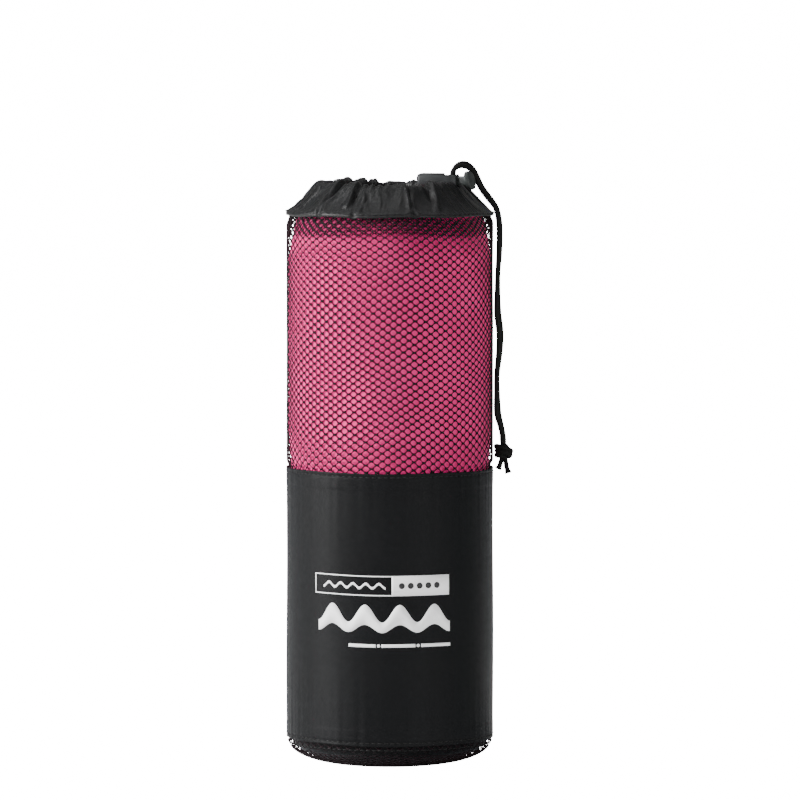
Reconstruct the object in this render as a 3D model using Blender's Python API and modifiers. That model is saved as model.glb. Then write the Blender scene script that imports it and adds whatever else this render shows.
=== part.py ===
"""A quick dry towel, rolled and packed in its drawstring net bag, as an assembly of named parts.

The origin is the centre of the bag's foot, +Z runs up the bag, and the cord lock's button points to +X.
All sizes are in metres. A bag like this is sewn from a net tube, a woven band, a net base with a woven
lining and a woven casing (the tunnel at the mouth), and a drawcord runs through the casing and a lock.
"""

import math

import bmesh
import bpy
from mathutils import Matrix, Vector

MM = 0.001

# Driving dimensions of the bag
BAG_RADIUS = 51.9 * MM          # outer face of the woven band
FOOT_RADIUS = 20.0 * MM         # flat part of the base that the bag stands on
BASE_HEIGHT = 11.0 * MM         # top edge of the rounded base, where it is sewn to the net wall
BAND_BOTTOM = 13.4 * MM
BAND_HEIGHT = 135.4 * MM
HEADROOM = 6.0 * MM             # from the roll's top to the casing's lower edge
CASING_RISE = 13.3 * MM         # from that edge to the top of the gathered mouth
MOUTH_RADIUS = 33.6 * MM        # where the drawcord runs round the drawn mouth
CLOTH = 0.8 * MM                # woven cloth, with its hems
NET = 0.9 * MM                  # knitted net
GAP = 0.3 * MM                  # clearance between pieces that touch or are sewn together
AROUND = 40                     # flats around every turned piece

# The towel, folded in three lengthwise and rolled
TOWEL_CLEARANCE = 0.4 * MM      # between the roll and the net wall
TOWEL_HEIGHT = 266.7 * MM       # a third of an 800 mm wide towel
TOWEL_EDGE = 6.0 * MM           # rounding of the roll's top edge
FOOT_INSET = 3.0 * MM           # the flat under the roll is this much smaller than the foot's

# Seams
NET_SWELL = 0.9 * MM            # how far the net stands out where nothing is sewn over it
SWELL_RUN = 3.5 * MM            # height over which it swells
NET_TUCK = 2.5 * MM             # net held inside the casing's lower edge
HEM_NET = 0.7 * MM              # turned-in edge of the net below the casing
HEM_HEIGHT = 8.0 * MM
THREAD_RADIUS = 0.2 * MM
THREAD_INSET = 1.8 * MM         # topstitch line to the edge that it holds
BINDING_WIDTH = 7.0 * MM
BINDING_THICKNESS = 0.5 * MM

# Drawcord and cord lock
CORD_RADIUS = 1.2 * MM
LOCK_ANGLE = math.radians(-20.8)  # where the cord leaves the mouth, from +X
LOCK_LIFT = 0.4 * MM            # lock above the mouth's top
LOCK_YAW = math.radians(-12.0)
BARREL_LENGTH = 20.5 * MM
BARREL_WIDTH = 11.4 * MM
BARREL_HEIGHT = 7.2 * MM
BARREL_WALL = 1.5 * MM          # sides and end
BARREL_SKIN = 1.3 * MM          # top and bottom
BARREL_ROUNDING = 2.0 * MM
MOUTH_LAND = 1.3 * MM           # barrel left between the cord slot and its open end
SCOOP_DEPTH = 0.9 * MM
SCOOP_MARGIN = 0.6 * MM
PRESS_TRAVEL = 3.0 * MM
BAR_CLEARANCE = 0.2 * MM
BAR_TAIL = 2.5 * MM
STEM_LENGTH = 4.4 * MM          # plunger that shows between barrel and button
BUTTON_RADIUS = 4.65 * MM
BUTTON_THICKNESS = 2.8 * MM
BUTTON_ROUNDING = 0.8 * MM
SPRING_CLEARANCE = 0.45 * MM     # round the spring in the bore
SPRING_WIRE = 0.25 * MM
SPRING_TURNS = 7
KNOT_CENTRE = Vector((56.9, -5.6, 156.6)) * MM
KNOT_SIZE = Vector((4.3, 3.7, 4.6)) * MM

# Routes of the two hanging strands in millimetres, from inside the casing up through the lock and down to
# the knot, and of the two cut ends below the knot
STRAND_BACK = [
    (31.68, -10.58, 286.0), (31.68, -10.58, 288.6), (31.68, -10.58, 292.3), (31.74, -10.55, 295.8),
    (32.4, -10.3, 298.4), (34.3, -9.5, 300.2), (36.9, -8.3, 300.8), (39.5, -7.0, 299.8),
    (41.9, -5.9, 297.4), (43.8, -5.4, 293.8), (46.2, -5.2, 288.8), (49.7, -5.3, 284.0),
    (53.2, -5.5, 278.8), (54.8, -5.4, 272.6), (55.2, -5.0, 265.0), (54.9, -4.7, 255.0),
    (54.1, -4.4, 246.0), (54.1, -4.2, 235.0), (54.6, -4.2, 226.0), (55.7, -4.2, 216.0),
    (55.3, -4.1, 207.0), (53.8, -3.9, 195.0), (53.9, -3.8, 186.0), (54.6, -3.9, 176.0),
    (55.9, -4.1, 169.5), (56.8, -4.2, 165.0), (57.1, -4.4, 161.6),
]
STRAND_FRONT = [
    (31.12, -13.22, 286.0), (31.12, -13.22, 288.6), (31.12, -13.22, 292.3), (31.16, -13.2, 295.4),
    (31.8, -13.0, 297.4), (33.4, -12.5, 298.9), (35.7, -11.4, 299.5), (38.2, -10.1, 299.0),
    (40.5, -8.9, 297.4), (42.3, -8.1, 294.8), (43.7, -7.9, 291.6), (45.5, -7.9, 288.0),
    (48.7, -8.1, 283.6), (52.6, -8.3, 278.6), (54.1, -8.2, 272.6), (54.5, -7.8, 265.0),
    (54.3, -7.5, 255.0), (53.9, -7.2, 246.0), (53.5, -7.0, 235.0), (53.3, -6.8, 226.0),
    (54.4, -6.7, 216.0), (54.3, -6.7, 207.0), (53.4, -6.7, 195.0), (53.3, -6.6, 186.0),
    (53.3, -6.4, 176.0), (55.1, -6.8, 169.5), (56.1, -7.0, 165.0), (56.3, -7.2, 161.6),
]
TAIL_LONG = [(58.0, -6.3, 151.6), (58.4, -6.8, 149.0), (59.3, -7.2, 145.8)]
TAIL_SHORT = [(55.6, -5.2, 151.5), (55.0, -5.3, 149.6), (54.2, -5.7, 147.8)]

# Sizes that follow from the ones above
BAND_TOP = BAND_BOTTOM + BAND_HEIGHT
BAND_INNER = BAG_RADIUS - CLOTH
NET_OUTER = BAND_INNER - GAP
NET_INNER = NET_OUTER - NET
TOWEL_RADIUS = NET_INNER - TOWEL_CLEARANCE
TOWEL_FOOT = FOOT_RADIUS - FOOT_INSET
TOWEL_FLOOR = NET + GAP + CLOTH + GAP
TOWEL_TOP = TOWEL_FLOOR + TOWEL_HEIGHT
CASING_BOTTOM = TOWEL_TOP + HEADROOM
RIM_TOP = CASING_BOTTOM + CASING_RISE
CORD_PITCH = 2 * CORD_RADIUS + GAP      # between the two strands in the lock
SLOT_WIDTH = CORD_PITCH + 2 * CORD_RADIUS + 2 * GAP
SLOT_REST = 2 * CORD_RADIUS + 2 * GAP
BAR_WIDTH = BARREL_WIDTH - 2 * (BARREL_WALL + BAR_CLEARANCE)
BAR_HEIGHT = BARREL_HEIGHT - 2 * (BARREL_SKIN + BAR_CLEARANCE)
SPRING_RADIUS = BAR_HEIGHT / 2 + BAR_CLEARANCE - SPRING_WIRE - SPRING_CLEARANCE
BARREL_MOUTH = SLOT_REST / 2 + MOUTH_LAND
BARREL_END = BARREL_MOUTH - BARREL_LENGTH
BORE_END = BARREL_END + BARREL_WALL
BAR_END = -SLOT_REST / 2 - BAR_TAIL
BUTTON_BACK = BARREL_MOUTH + STEM_LENGTH
RING_HEIGHT = RIM_TOP - CLOTH - GAP - CORD_RADIUS
LOCK_CENTRE = Vector((
    MOUTH_RADIUS * math.cos(LOCK_ANGLE),
    MOUTH_RADIUS * math.sin(LOCK_ANGLE),
    RIM_TOP + LOCK_LIFT + BARREL_HEIGHT / 2,
))

COLOURS = {
    "towel": ((0.80, 0.13, 0.33, 1.0), 0.95, 0.0),
    "net": ((0.012, 0.012, 0.014, 1.0), 0.80, 0.0),
    "cloth": ((0.016, 0.017, 0.019, 1.0), 0.55, 0.0),
    "thread": ((0.020, 0.020, 0.022, 1.0), 0.70, 0.0),
    "cord": ((0.010, 0.010, 0.010, 1.0), 0.85, 0.0),
    "plastic": ((0.055, 0.058, 0.058, 1.0), 0.45, 0.0),
    "steel": ((0.60, 0.60, 0.62, 1.0), 0.30, 1.0),
}


def clear_scene():
    for item in list(bpy.data.objects):
        bpy.data.objects.remove(item, do_unlink=True)


def collection(name):
    made = bpy.data.collections.new(name)
    bpy.context.scene.collection.children.link(made)
    return made


def material(name):
    """The material of that name, made the first time it is asked for."""
    if name in bpy.data.materials:
        return bpy.data.materials[name]
    colour, roughness, metallic = COLOURS[name]
    made = bpy.data.materials.new(name)
    made.use_nodes = True
    shader = made.node_tree.nodes["Principled BSDF"]
    shader.inputs["Base Color"].default_value = colour
    shader.inputs["Roughness"].default_value = roughness
    shader.inputs["Metallic"].default_value = metallic
    return made


def place(name, data, finish, group, parent=None):
    """A new object of that data, in its collection and with its material."""
    made = bpy.data.objects.new(name, data)
    group.objects.link(made)
    if finish:
        data.materials.append(material(finish))
    made.parent = parent
    return made


def cutter(name, data, parent=None):
    made = place(name, data, None, CUTTERS, parent)
    made.hide_render = True
    made.display_type = "WIRE"
    return made


def arc(centre, radii, start, end, steps):
    """Points (r, z) along an elliptical arc, from start to end in degrees."""
    angles = [math.radians(start + (end - start) * i / steps) for i in range(steps + 1)]
    return [(centre[0] + radii[0] * math.cos(a), centre[1] + radii[1] * math.sin(a)) for a in angles]


def turned(name, profile, finish, closed):
    """A profile of (r, z) points turned round the Z axis. Its outer side runs from top to bottom."""
    count = len(profile)
    edges = [(i, i + 1) for i in range(count - 1)]
    if closed:
        edges.append((count - 1, 0))
    data = bpy.data.meshes.new(name)
    data.from_pydata([(r, 0.0, z) for r, z in profile], edges, [])
    made = place(name, data, finish, BAG)
    screw = made.modifiers.new("turn", "SCREW")
    screw.steps = AROUND
    screw.render_steps = AROUND
    screw.use_merge_vertices = True
    screw.merge_threshold = 1e-6
    return made


def box(size, centre=(0.0, 0.0, 0.0)):
    """Mesh of a box, from its sizes and centre."""
    shape = bmesh.new()
    bmesh.ops.create_cube(shape, size=1.0)
    bmesh.ops.scale(shape, vec=Vector(size), verts=shape.verts)
    bmesh.ops.translate(shape, vec=Vector(centre), verts=shape.verts)
    data = bpy.data.meshes.new("box")
    shape.to_mesh(data)
    shape.free()
    return data


def along(start, end, width, height):
    """Mesh of a box that runs from start to end along X."""
    return box((end - start, width, height), ((start + end) / 2, 0.0, 0.0))


def cylinder_x(start, end, radius, sides):
    """Mesh of a cylinder that runs from start to end along X."""
    shape = bmesh.new()
    bmesh.ops.create_cone(
        shape, cap_ends=True, segments=sides, radius1=radius, radius2=radius, depth=end - start
    )
    bmesh.ops.rotate(shape, matrix=Matrix.Rotation(math.pi / 2, 3, "Y"), verts=shape.verts)
    bmesh.ops.translate(shape, vec=((start + end) / 2, 0.0, 0.0), verts=shape.verts)
    data = bpy.data.meshes.new("cylinder")
    shape.to_mesh(data)
    shape.free()
    return data


def rounded(item, width, segments):
    bevel = item.modifiers.new("rounding", "BEVEL")
    bevel.width = width
    bevel.segments = segments
    bevel.limit_method = "ANGLE"
    bevel.angle_limit = math.radians(40.0)


def combined(item, other, operation):
    join = item.modifiers.new(operation.lower(), "BOOLEAN")
    join.operation = operation
    join.object = other


def smooth_route(points, spacing):
    """Points about that far apart on one smooth curve (Catmull-Rom) through the given ones."""
    knots = [Vector(p) for p in points]
    ends = [2 * knots[0] - knots[1], *knots, 2 * knots[-1] - knots[-2]]
    route = [knots[0]]
    for before, start, end, after in zip(ends, ends[1:], ends[2:], ends[3:]):
        steps = max(1, round((end - start).length / spacing))
        for i in range(1, steps + 1):
            t = i / steps
            route.append(
                0.5 * (
                    2 * start
                    + (end - before) * t
                    + (2 * before - 5 * start + 4 * end - after) * t ** 2
                    + (3 * start - before - 3 * end + after) * t ** 3
                )
            )
    return route


def tube(name, points, radius, finish, parent=None):
    """A tube with flat ends along the points, as a curve object."""
    data = bpy.data.curves.new(name, "CURVE")
    data.dimensions = "3D"
    spline = data.splines.new("POLY")
    spline.points.add(len(points) - 1)
    for slot, point in zip(spline.points, points):
        slot.co = (*point, 1.0)
    data.bevel_depth = radius
    data.bevel_resolution = 2
    data.use_fill_caps = True
    return place(name, data, finish, BAG, parent)


def thread_ring(name, radius, height):
    """A line of stitches round the bag, as one loop of thread on the cloth's outer face."""
    bpy.ops.mesh.primitive_torus_add(
        major_segments=AROUND, minor_segments=4, major_radius=radius, minor_radius=THREAD_RADIUS,
        location=(0.0, 0.0, height),
    )
    made = bpy.context.object
    made.name = name
    made.data.shade_smooth()
    for group in list(made.users_collection):
        group.objects.unlink(made)
    BAG.objects.link(made)
    made.data.materials.append(material("thread"))
    return made


def dish(outer_radius, foot_radius, floor, top, thickness):
    """Section of a round-cornered dish, from the middle of its inside to the middle of its underside."""
    reach, depth = outer_radius - foot_radius, top - floor
    inside = arc((foot_radius, top), (reach - thickness, depth - thickness), -90, 0, 6)
    outside = arc((foot_radius, top), (reach, depth), 0, -90, 6)
    return [(0.0, floor + thickness), *inside, *outside, (0.0, floor)]


def make_base():
    """The net base and the woven disc that lines it, both turned up to the wall."""
    turned("base_net", dish(NET_OUTER, FOOT_RADIUS, 0.0, BASE_HEIGHT, NET), "net", closed=False)
    lining_radius = NET_OUTER - NET - GAP
    lining_floor = NET + GAP
    lining = dish(lining_radius, FOOT_RADIUS, lining_floor, BASE_HEIGHT, CLOTH)
    turned("base_lining", lining, "cloth", closed=False)
    thread_ring("base_seam_thread", NET_OUTER + GAP + THREAD_RADIUS, BASE_HEIGHT + GAP / 2)


def make_wall():
    """The net tube, its turned-in top edge, its side seam's binding, and the band round its lower half."""
    foot = BASE_HEIGHT + GAP
    swell = NET_OUTER + NET_SWELL
    neck = CASING_BOTTOM - THREAD_INSET
    heights = [
        (CASING_BOTTOM + NET_TUCK, NET_OUTER),
        (neck, NET_OUTER),
        (neck - SWELL_RUN, swell),
        (BAND_TOP + SWELL_RUN, swell),
        (BAND_TOP + GAP, NET_OUTER),
        (foot, NET_OUTER),
    ]
    outside = [(r, z) for z, r in heights]
    inside = [(r - NET, z) for z, r in reversed(heights)]
    turned("net_wall", outside + inside, "net", closed=True)

    hem_outer = swell - NET - GAP
    hem_top = neck - SWELL_RUN
    hem = [
        (hem_outer, hem_top),
        (hem_outer, hem_top - HEM_HEIGHT),
        (hem_outer - HEM_NET, hem_top - HEM_HEIGHT),
        (hem_outer - HEM_NET, hem_top),
    ]
    turned("net_hem", hem, "net", closed=True)

    binding_top = hem_top - HEM_HEIGHT - GAP
    binding_foot = BAND_TOP + SWELL_RUN
    binding_reach = math.sqrt(hem_outer ** 2 - (BINDING_WIDTH / 2) ** 2)
    binding = box(
        (BINDING_WIDTH, BINDING_THICKNESS, binding_top - binding_foot),
        (0.0, binding_reach - BINDING_THICKNESS / 2, (binding_top + binding_foot) / 2),
    )
    place("side_seam_binding", binding, "cloth", BAG)

    band = [
        (BAG_RADIUS, BAND_TOP),
        (BAG_RADIUS, BAND_BOTTOM),
        (BAND_INNER, BAND_BOTTOM),
        (BAND_INNER, BAND_TOP),
    ]
    turned("band_panel", band, "cloth", closed=True)
    stitch_radius = BAG_RADIUS + GAP + THREAD_RADIUS
    thread_ring("band_top_thread", stitch_radius, BAND_TOP - THREAD_INSET)
    thread_ring("band_bottom_thread", stitch_radius, BAND_BOTTOM + THREAD_INSET)


def casing_line():
    """Middle of the casing's cloth: up the outside, over the drawcord, and back down the inside."""
    outer = BAG_RADIUS - CLOTH / 2
    inner = NET_INNER - GAP - CLOTH / 2
    shoulder = CASING_BOTTOM + NET_TUCK
    loop = CORD_RADIUS + GAP + CLOTH / 2
    slope = outer - MOUTH_RADIUS
    rise = RING_HEIGHT - shoulder
    up = [
        (outer, CASING_BOTTOM),
        (outer, shoulder),
        (MOUTH_RADIUS + 0.76 * slope, shoulder + 0.57 * rise),
        (MOUTH_RADIUS + 0.38 * slope, RING_HEIGHT + 0.4 * loop),
    ]
    over = arc((MOUTH_RADIUS, RING_HEIGHT), (loop, loop), 90, 270, 6)
    down = [
        (MOUTH_RADIUS + 0.30 * slope, RING_HEIGHT - 0.9 * loop),
        (MOUTH_RADIUS + 0.62 * slope, shoulder + 0.50 * rise),
        (inner, shoulder + 0.02 * rise),
        (inner, CASING_BOTTOM),
    ]
    return up + over + down


def make_casing():
    """The woven tunnel at the mouth, drawn in over the towel, with the slot that the cord leaves by."""
    casing = turned("casing", list(reversed(casing_line())), "cloth", closed=False)
    wall = casing.modifiers.new("cloth", "SOLIDIFY")
    wall.thickness = CLOTH
    wall.offset = 0.0
    wall.use_even_offset = True
    slot = cutter("cord_exit", box((SLOT_REST, SLOT_WIDTH, 2 * (RIM_TOP - RING_HEIGHT))))
    slot.location = (LOCK_CENTRE.x, LOCK_CENTRE.y, RIM_TOP)
    slot.rotation_euler.z = LOCK_YAW
    combined(casing, slot, "DIFFERENCE")
    thread_ring("casing_thread", BAG_RADIUS + GAP + THREAD_RADIUS, CASING_BOTTOM + THREAD_INSET)


def make_towel():
    """The folded and rolled towel: its outer shape, with the foot that it takes in the rounded base."""
    low_radius = NET_OUTER - TOWEL_FLOOR
    crown = arc(
        (TOWEL_RADIUS - TOWEL_EDGE, TOWEL_TOP - TOWEL_EDGE), (TOWEL_EDGE, TOWEL_EDGE), 90, 0, 5
    )
    foot = arc(
        (TOWEL_FOOT, BASE_HEIGHT + GAP), (low_radius - TOWEL_FOOT, BASE_HEIGHT + GAP - TOWEL_FLOOR), 0, -90, 7
    )
    side = [(TOWEL_RADIUS, BASE_HEIGHT + 4 * GAP)]
    profile = [(0.0, TOWEL_TOP), *crown, *side, *foot, (0.0, TOWEL_FLOOR)]
    turned("towel_roll", profile, "towel", closed=False)


def make_drawcord():
    """The cord in the casing, its strands through the lock, the knot that joins them, and its cut ends."""
    clear = (SLOT_WIDTH / 2 + GAP) / MOUTH_RADIUS
    steps = 48
    sweep = 2 * (math.pi - clear)
    ring = []
    for i in range(steps + 1):
        angle = LOCK_ANGLE + clear + sweep * i / steps
        ring.append((MOUTH_RADIUS * math.cos(angle), MOUTH_RADIUS * math.sin(angle), RING_HEIGHT))
    tube("drawcord_ring", ring, CORD_RADIUS, "cord")
    routes = {
        "drawcord_strand_back": (STRAND_BACK, 5.0),
        "drawcord_strand_front": (STRAND_FRONT, 5.0),
        "drawcord_tail_long": (TAIL_LONG, 2.0),
        "drawcord_tail_short": (TAIL_SHORT, 2.0),
    }
    for name, (points, spacing) in routes.items():
        route = [p * MM for p in smooth_route(points, spacing)]
        tube(name, route, CORD_RADIUS, "cord")
    shape = bmesh.new()
    bmesh.ops.create_uvsphere(shape, u_segments=14, v_segments=9, radius=1.0)
    bmesh.ops.scale(shape, vec=KNOT_SIZE, verts=shape.verts)
    data = bpy.data.meshes.new("knot")
    shape.to_mesh(data)
    shape.free()
    data.shade_smooth()
    place("drawcord_knot", data, "cord", BAG).location = KNOT_CENTRE


def make_lock():
    """The cord lock: a barrel, a sprung plunger with its button, and the spring, on one axis."""
    frame = bpy.data.objects.new("lock_axis", None)
    frame.location = LOCK_CENTRE
    frame.rotation_euler.z = LOCK_YAW
    BAG.objects.link(frame)

    block = along(BARREL_END, BARREL_MOUTH, BARREL_WIDTH, BARREL_HEIGHT)
    barrel = place("lock_barrel", block, "plastic", BAG, frame)
    rounded(barrel, BARREL_ROUNDING, 2)
    bore_width = BAR_WIDTH + 2 * BAR_CLEARANCE
    bore_height = BAR_HEIGHT + 2 * BAR_CLEARANCE
    bore = cutter("bore", along(BORE_END, BARREL_MOUTH + MOUTH_LAND, bore_width, bore_height), frame)
    slot_end = -SLOT_REST / 2 - PRESS_TRAVEL
    slot = cutter("barrel_slot", along(slot_end, SLOT_REST / 2, SLOT_WIDTH, 2 * BARREL_HEIGHT), frame)
    scoop_size = (SLOT_REST + PRESS_TRAVEL + 2 * SCOOP_MARGIN, 2 * BARREL_WIDTH, 2 * SCOOP_DEPTH)
    scoop_middle = (slot_end + SLOT_REST / 2) / 2
    combined(barrel, bore, "DIFFERENCE")
    combined(barrel, slot, "DIFFERENCE")
    for side, name in ((1, "top_scoop"), (-1, "bottom_scoop")):
        scoop = cutter(name, box(scoop_size, (scoop_middle, 0.0, side * BARREL_HEIGHT / 2)), frame)
        combined(barrel, scoop, "DIFFERENCE")

    plunger = place(
        "lock_plunger", along(BAR_END, BUTTON_BACK + BUTTON_THICKNESS / 2, BAR_WIDTH, BAR_HEIGHT), "plastic",
        BAG, frame,
    )
    button = cutter(
        "button", cylinder_x(BUTTON_BACK, BUTTON_BACK + BUTTON_THICKNESS, BUTTON_RADIUS, 20), frame
    )
    rounded(button, BUTTON_ROUNDING, 2)
    window = cutter(
        "plunger_slot", along(-SLOT_REST / 2, SLOT_REST / 2 + PRESS_TRAVEL + GAP, SLOT_WIDTH, 2 * BAR_HEIGHT), frame
    )
    combined(plunger, button, "UNION")
    combined(plunger, window, "DIFFERENCE")

    first = BORE_END + GAP + SPRING_WIRE
    last = BAR_END - GAP - SPRING_WIRE
    per_turn = 10
    coil = []
    for i in range(SPRING_TURNS * per_turn + 1):
        angle = 2 * math.pi * i / per_turn
        reach = first + (last - first) * i / (SPRING_TURNS * per_turn)
        coil.append((reach, SPRING_RADIUS * math.cos(angle), SPRING_RADIUS * math.sin(angle)))
    tube("lock_spring", coil, SPRING_WIRE, "steel", frame)


clear_scene()
BAG = collection("quick_dry_towel")
CUTTERS = collection("cutters")
make_base()
make_wall()
make_casing()
make_towel()
make_drawcord()
make_lock()
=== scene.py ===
"""The looks of a quick dry towel, rolled in its drawstring net bag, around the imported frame. Sizes in metres."""

import math
import random

import bmesh
import bpy
import numpy as np
from mathutils import Matrix, Vector


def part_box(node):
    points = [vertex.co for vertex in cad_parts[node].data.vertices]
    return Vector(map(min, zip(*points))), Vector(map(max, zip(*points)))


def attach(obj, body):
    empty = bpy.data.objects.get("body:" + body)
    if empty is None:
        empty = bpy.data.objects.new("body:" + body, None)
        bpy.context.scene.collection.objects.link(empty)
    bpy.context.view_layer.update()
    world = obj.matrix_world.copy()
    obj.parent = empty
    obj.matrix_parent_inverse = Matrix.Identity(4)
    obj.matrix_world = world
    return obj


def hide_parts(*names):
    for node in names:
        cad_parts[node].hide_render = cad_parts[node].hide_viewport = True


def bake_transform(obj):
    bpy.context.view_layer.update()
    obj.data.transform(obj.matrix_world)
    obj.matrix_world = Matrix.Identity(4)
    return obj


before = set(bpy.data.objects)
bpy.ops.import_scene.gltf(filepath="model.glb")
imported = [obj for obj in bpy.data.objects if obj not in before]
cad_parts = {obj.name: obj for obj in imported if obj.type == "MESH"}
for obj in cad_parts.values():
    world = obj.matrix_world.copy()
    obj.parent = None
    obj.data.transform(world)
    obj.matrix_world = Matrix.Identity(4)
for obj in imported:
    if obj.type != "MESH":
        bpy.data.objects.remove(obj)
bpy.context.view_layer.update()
MM = 0.001


# Studio. The bag stands on a plain white floor in front of a white backdrop, both lit on their own so that they
# stay white. Soft panels light the bag: the key far to the left, a weak fill at the right, and one overhead.

camera_data = bpy.data.cameras.new("camera")
camera_data.lens = 292.5
camera = bpy.data.objects.new("camera", camera_data)
bpy.context.collection.objects.link(camera)
camera.location = (5.1 * MM, -3.25, 0.375)
aim = Vector((5.1 * MM, 0.0, 182.0 * MM))
camera.rotation_euler = (aim - camera.location).to_track_quat("-Z", "Y").to_euler()
bpy.context.scene.camera = camera

FLOOR_HALF = 6.0
BACKDROP_GLOW = 16.0            # how bright floor and backdrop look by themselves
ROOM_LIGHT = 0.26               # how much soft light the white room throws on the bag


def add_node(tree, kind, settings=(), inputs=()):
    """A node of that kind in the tree. Each input, by name or number, is a value or a socket to link to it."""
    made = tree.nodes.new(kind)
    for name, value in dict(settings).items():
        setattr(made, name, value)
    for key, value in dict(inputs).items():
        if isinstance(value, bpy.types.NodeSocket):
            tree.links.new(value, made.inputs[key])
        else:
            made.inputs[key].default_value = value
    return made


def sums(tree, operation, *values):
    """The result of a Math node, whose inputs are values or sockets."""
    return add_node(tree, "ShaderNodeMath", {"operation": operation}, dict(enumerate(values))).outputs[0]


corners = [(x * FLOOR_HALF, y * FLOOR_HALF, 0.0) for x, y in ((-1, -1), (1, -1), (1, 1), (-1, 1))]
sweep = bpy.data.meshes.new("floor")
sweep.from_pydata(corners, [], [(0, 1, 2, 3)])
floor = bpy.data.objects.new("floor", sweep)
bpy.context.collection.objects.link(floor)
paper = bpy.data.materials.new("backdrop paper")
paper.use_nodes = True
paper_shader = paper.node_tree.nodes["Principled BSDF"].inputs
paper_shader["Base Color"].default_value = (0.90, 0.90, 0.90, 1.0)
paper_shader["Roughness"].default_value = 0.9
paper_shader["Emission Color"].default_value = (1.0, 1.0, 1.0, 1.0)
seen = add_node(paper.node_tree, "ShaderNodeLightPath").outputs["Is Camera Ray"]
paper.node_tree.links.new(sums(paper.node_tree, "MULTIPLY", seen, BACKDROP_GLOW), paper_shader["Emission Strength"])
sweep.materials.append(paper)


def panel(name, place, size, watts):
    """A soft light panel that faces the bag."""
    data = bpy.data.lights.new(name, "AREA")
    data.shape = "RECTANGLE"
    data.size, data.size_y = size
    data.energy = watts
    lamp = bpy.data.objects.new(name, data)
    bpy.context.collection.objects.link(lamp)
    lamp.location = place
    lamp.rotation_euler = (Vector((0.0, 0.0, 0.17)) - lamp.location).to_track_quat("-Z", "Y").to_euler()


panel("key", (-2.1, -0.55, 0.9), (0.7, 1.4), 150.0)
panel("fill", (1.5, -1.9, 0.6), (0.8, 1.2), 34.0)
panel("top", (-0.3, 0.1, 1.7), (1.0, 1.0), 9.0)
room = bpy.data.worlds.new("room")
room.use_nodes = True
seen = add_node(room.node_tree, "ShaderNodeLightPath").outputs["Is Camera Ray"]
glow = sums(room.node_tree, "ADD", sums(room.node_tree, "MULTIPLY", seen, BACKDROP_GLOW), ROOM_LIGHT)
room_light = room.node_tree.nodes["Background"].inputs
room_light["Color"].default_value = (1.0, 1.0, 1.0, 1.0)
room.node_tree.links.new(glow, room_light["Strength"])
bpy.context.scene.world = room


# Towel. One sheet of suede-like microfibre, 0.80 by 1.60 m, folded in three across its width and rolled on
# itself in a little over nine turns. Its foot takes the shape of the bag's rounded base, and its head swells
# up to the drawn mouth.

LAYER = 1.587 * MM              # one layer of the roll, with the air beside it
NAP = 1.15 * MM                 # the cloth itself
CORE_RADIUS = 4.6 * MM
FOOT_RISE = 15.5 * MM           # how far the rounded foot of the roll reaches up
FREE_EDGE = math.radians(115.0) # where the outer end of the sheet lies, at the back
HEAD_RISE = 9.0 * MM            # how far the soft top of the roll swells up into the casing
TAPE_GROOVE = 1.3 * MM          # pressed into the roll by the binding on the side seam
towel_low, towel_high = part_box("towel_roll")
lining_low, lining_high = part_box("base_lining")
band_low, band_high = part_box("band_panel")
hem_low, hem_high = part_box("net_hem")


def finish_material(name, colour, roughness, **uniform):
    """A new material, its node tree and its Principled shader, with the values that are the same all over."""
    made = bpy.data.materials.new(name)
    made.use_nodes = True
    made.diffuse_color = (*colour, 1.0)
    shader = made.node_tree.nodes["Principled BSDF"]
    shader.inputs["Base Color"].default_value = (*colour, 1.0)
    shader.inputs["Roughness"].default_value = roughness
    for key, value in uniform.items():
        shader.inputs[key.replace("_", " ")].default_value = value
    return made, made.node_tree, shader


def two_colours(tree, mask, dark, light):
    """A colour between dark and light, as the mask goes from 0 to 1."""
    mix = add_node(tree, "ShaderNodeMix", {"data_type": "RGBA"}, {0: mask, 6: (*dark, 1.0), 7: (*light, 1.0)})
    return mix.outputs[2]


def relief(tree, shader, height, distance, strength=1.0):
    """Fine relief on the shader, as deep as distance."""
    bump = add_node(tree, "ShaderNodeBump", (), {"Height": height, "Distance": distance, "Strength": strength})
    tree.links.new(bump.outputs["Normal"], shader.inputs["Normal"])


def ripples(angle, height, seed, most_round, spacing, count=14):
    """Smooth irregular values of about -1 to 1 over a round surface, which meet at its seam."""
    draw = random.Random(seed)
    total = np.zeros(np.broadcast(angle, height).shape)
    for _ in range(count):
        turns = draw.randint(0, most_round)
        rise = draw.uniform(-1.0, 1.0) * 2 * math.pi / spacing
        total = total + np.sin(turns * angle + rise * height + draw.uniform(0.0, 2 * math.pi))
    return total / math.sqrt(count)


def eased(value, start, end):
    """From 0 to 1, smoothly, as value goes from start to end."""
    share = np.clip((value - start) / (end - start), 0.0, 1.0)
    return share * share * (3 - 2 * share)


def mesh_piece(name, vertices, faces, material, smooth=True):
    """An object made of those vertices and faces."""
    data = bpy.data.meshes.new(name)
    data.from_pydata(np.asarray(vertices).tolist(), [], [list(map(int, face)) for face in faces])
    if smooth:
        data.shade_smooth()
    data.materials.append(material)
    made = bpy.data.objects.new(name, data)
    bpy.context.collection.objects.link(made)
    return made


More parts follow.
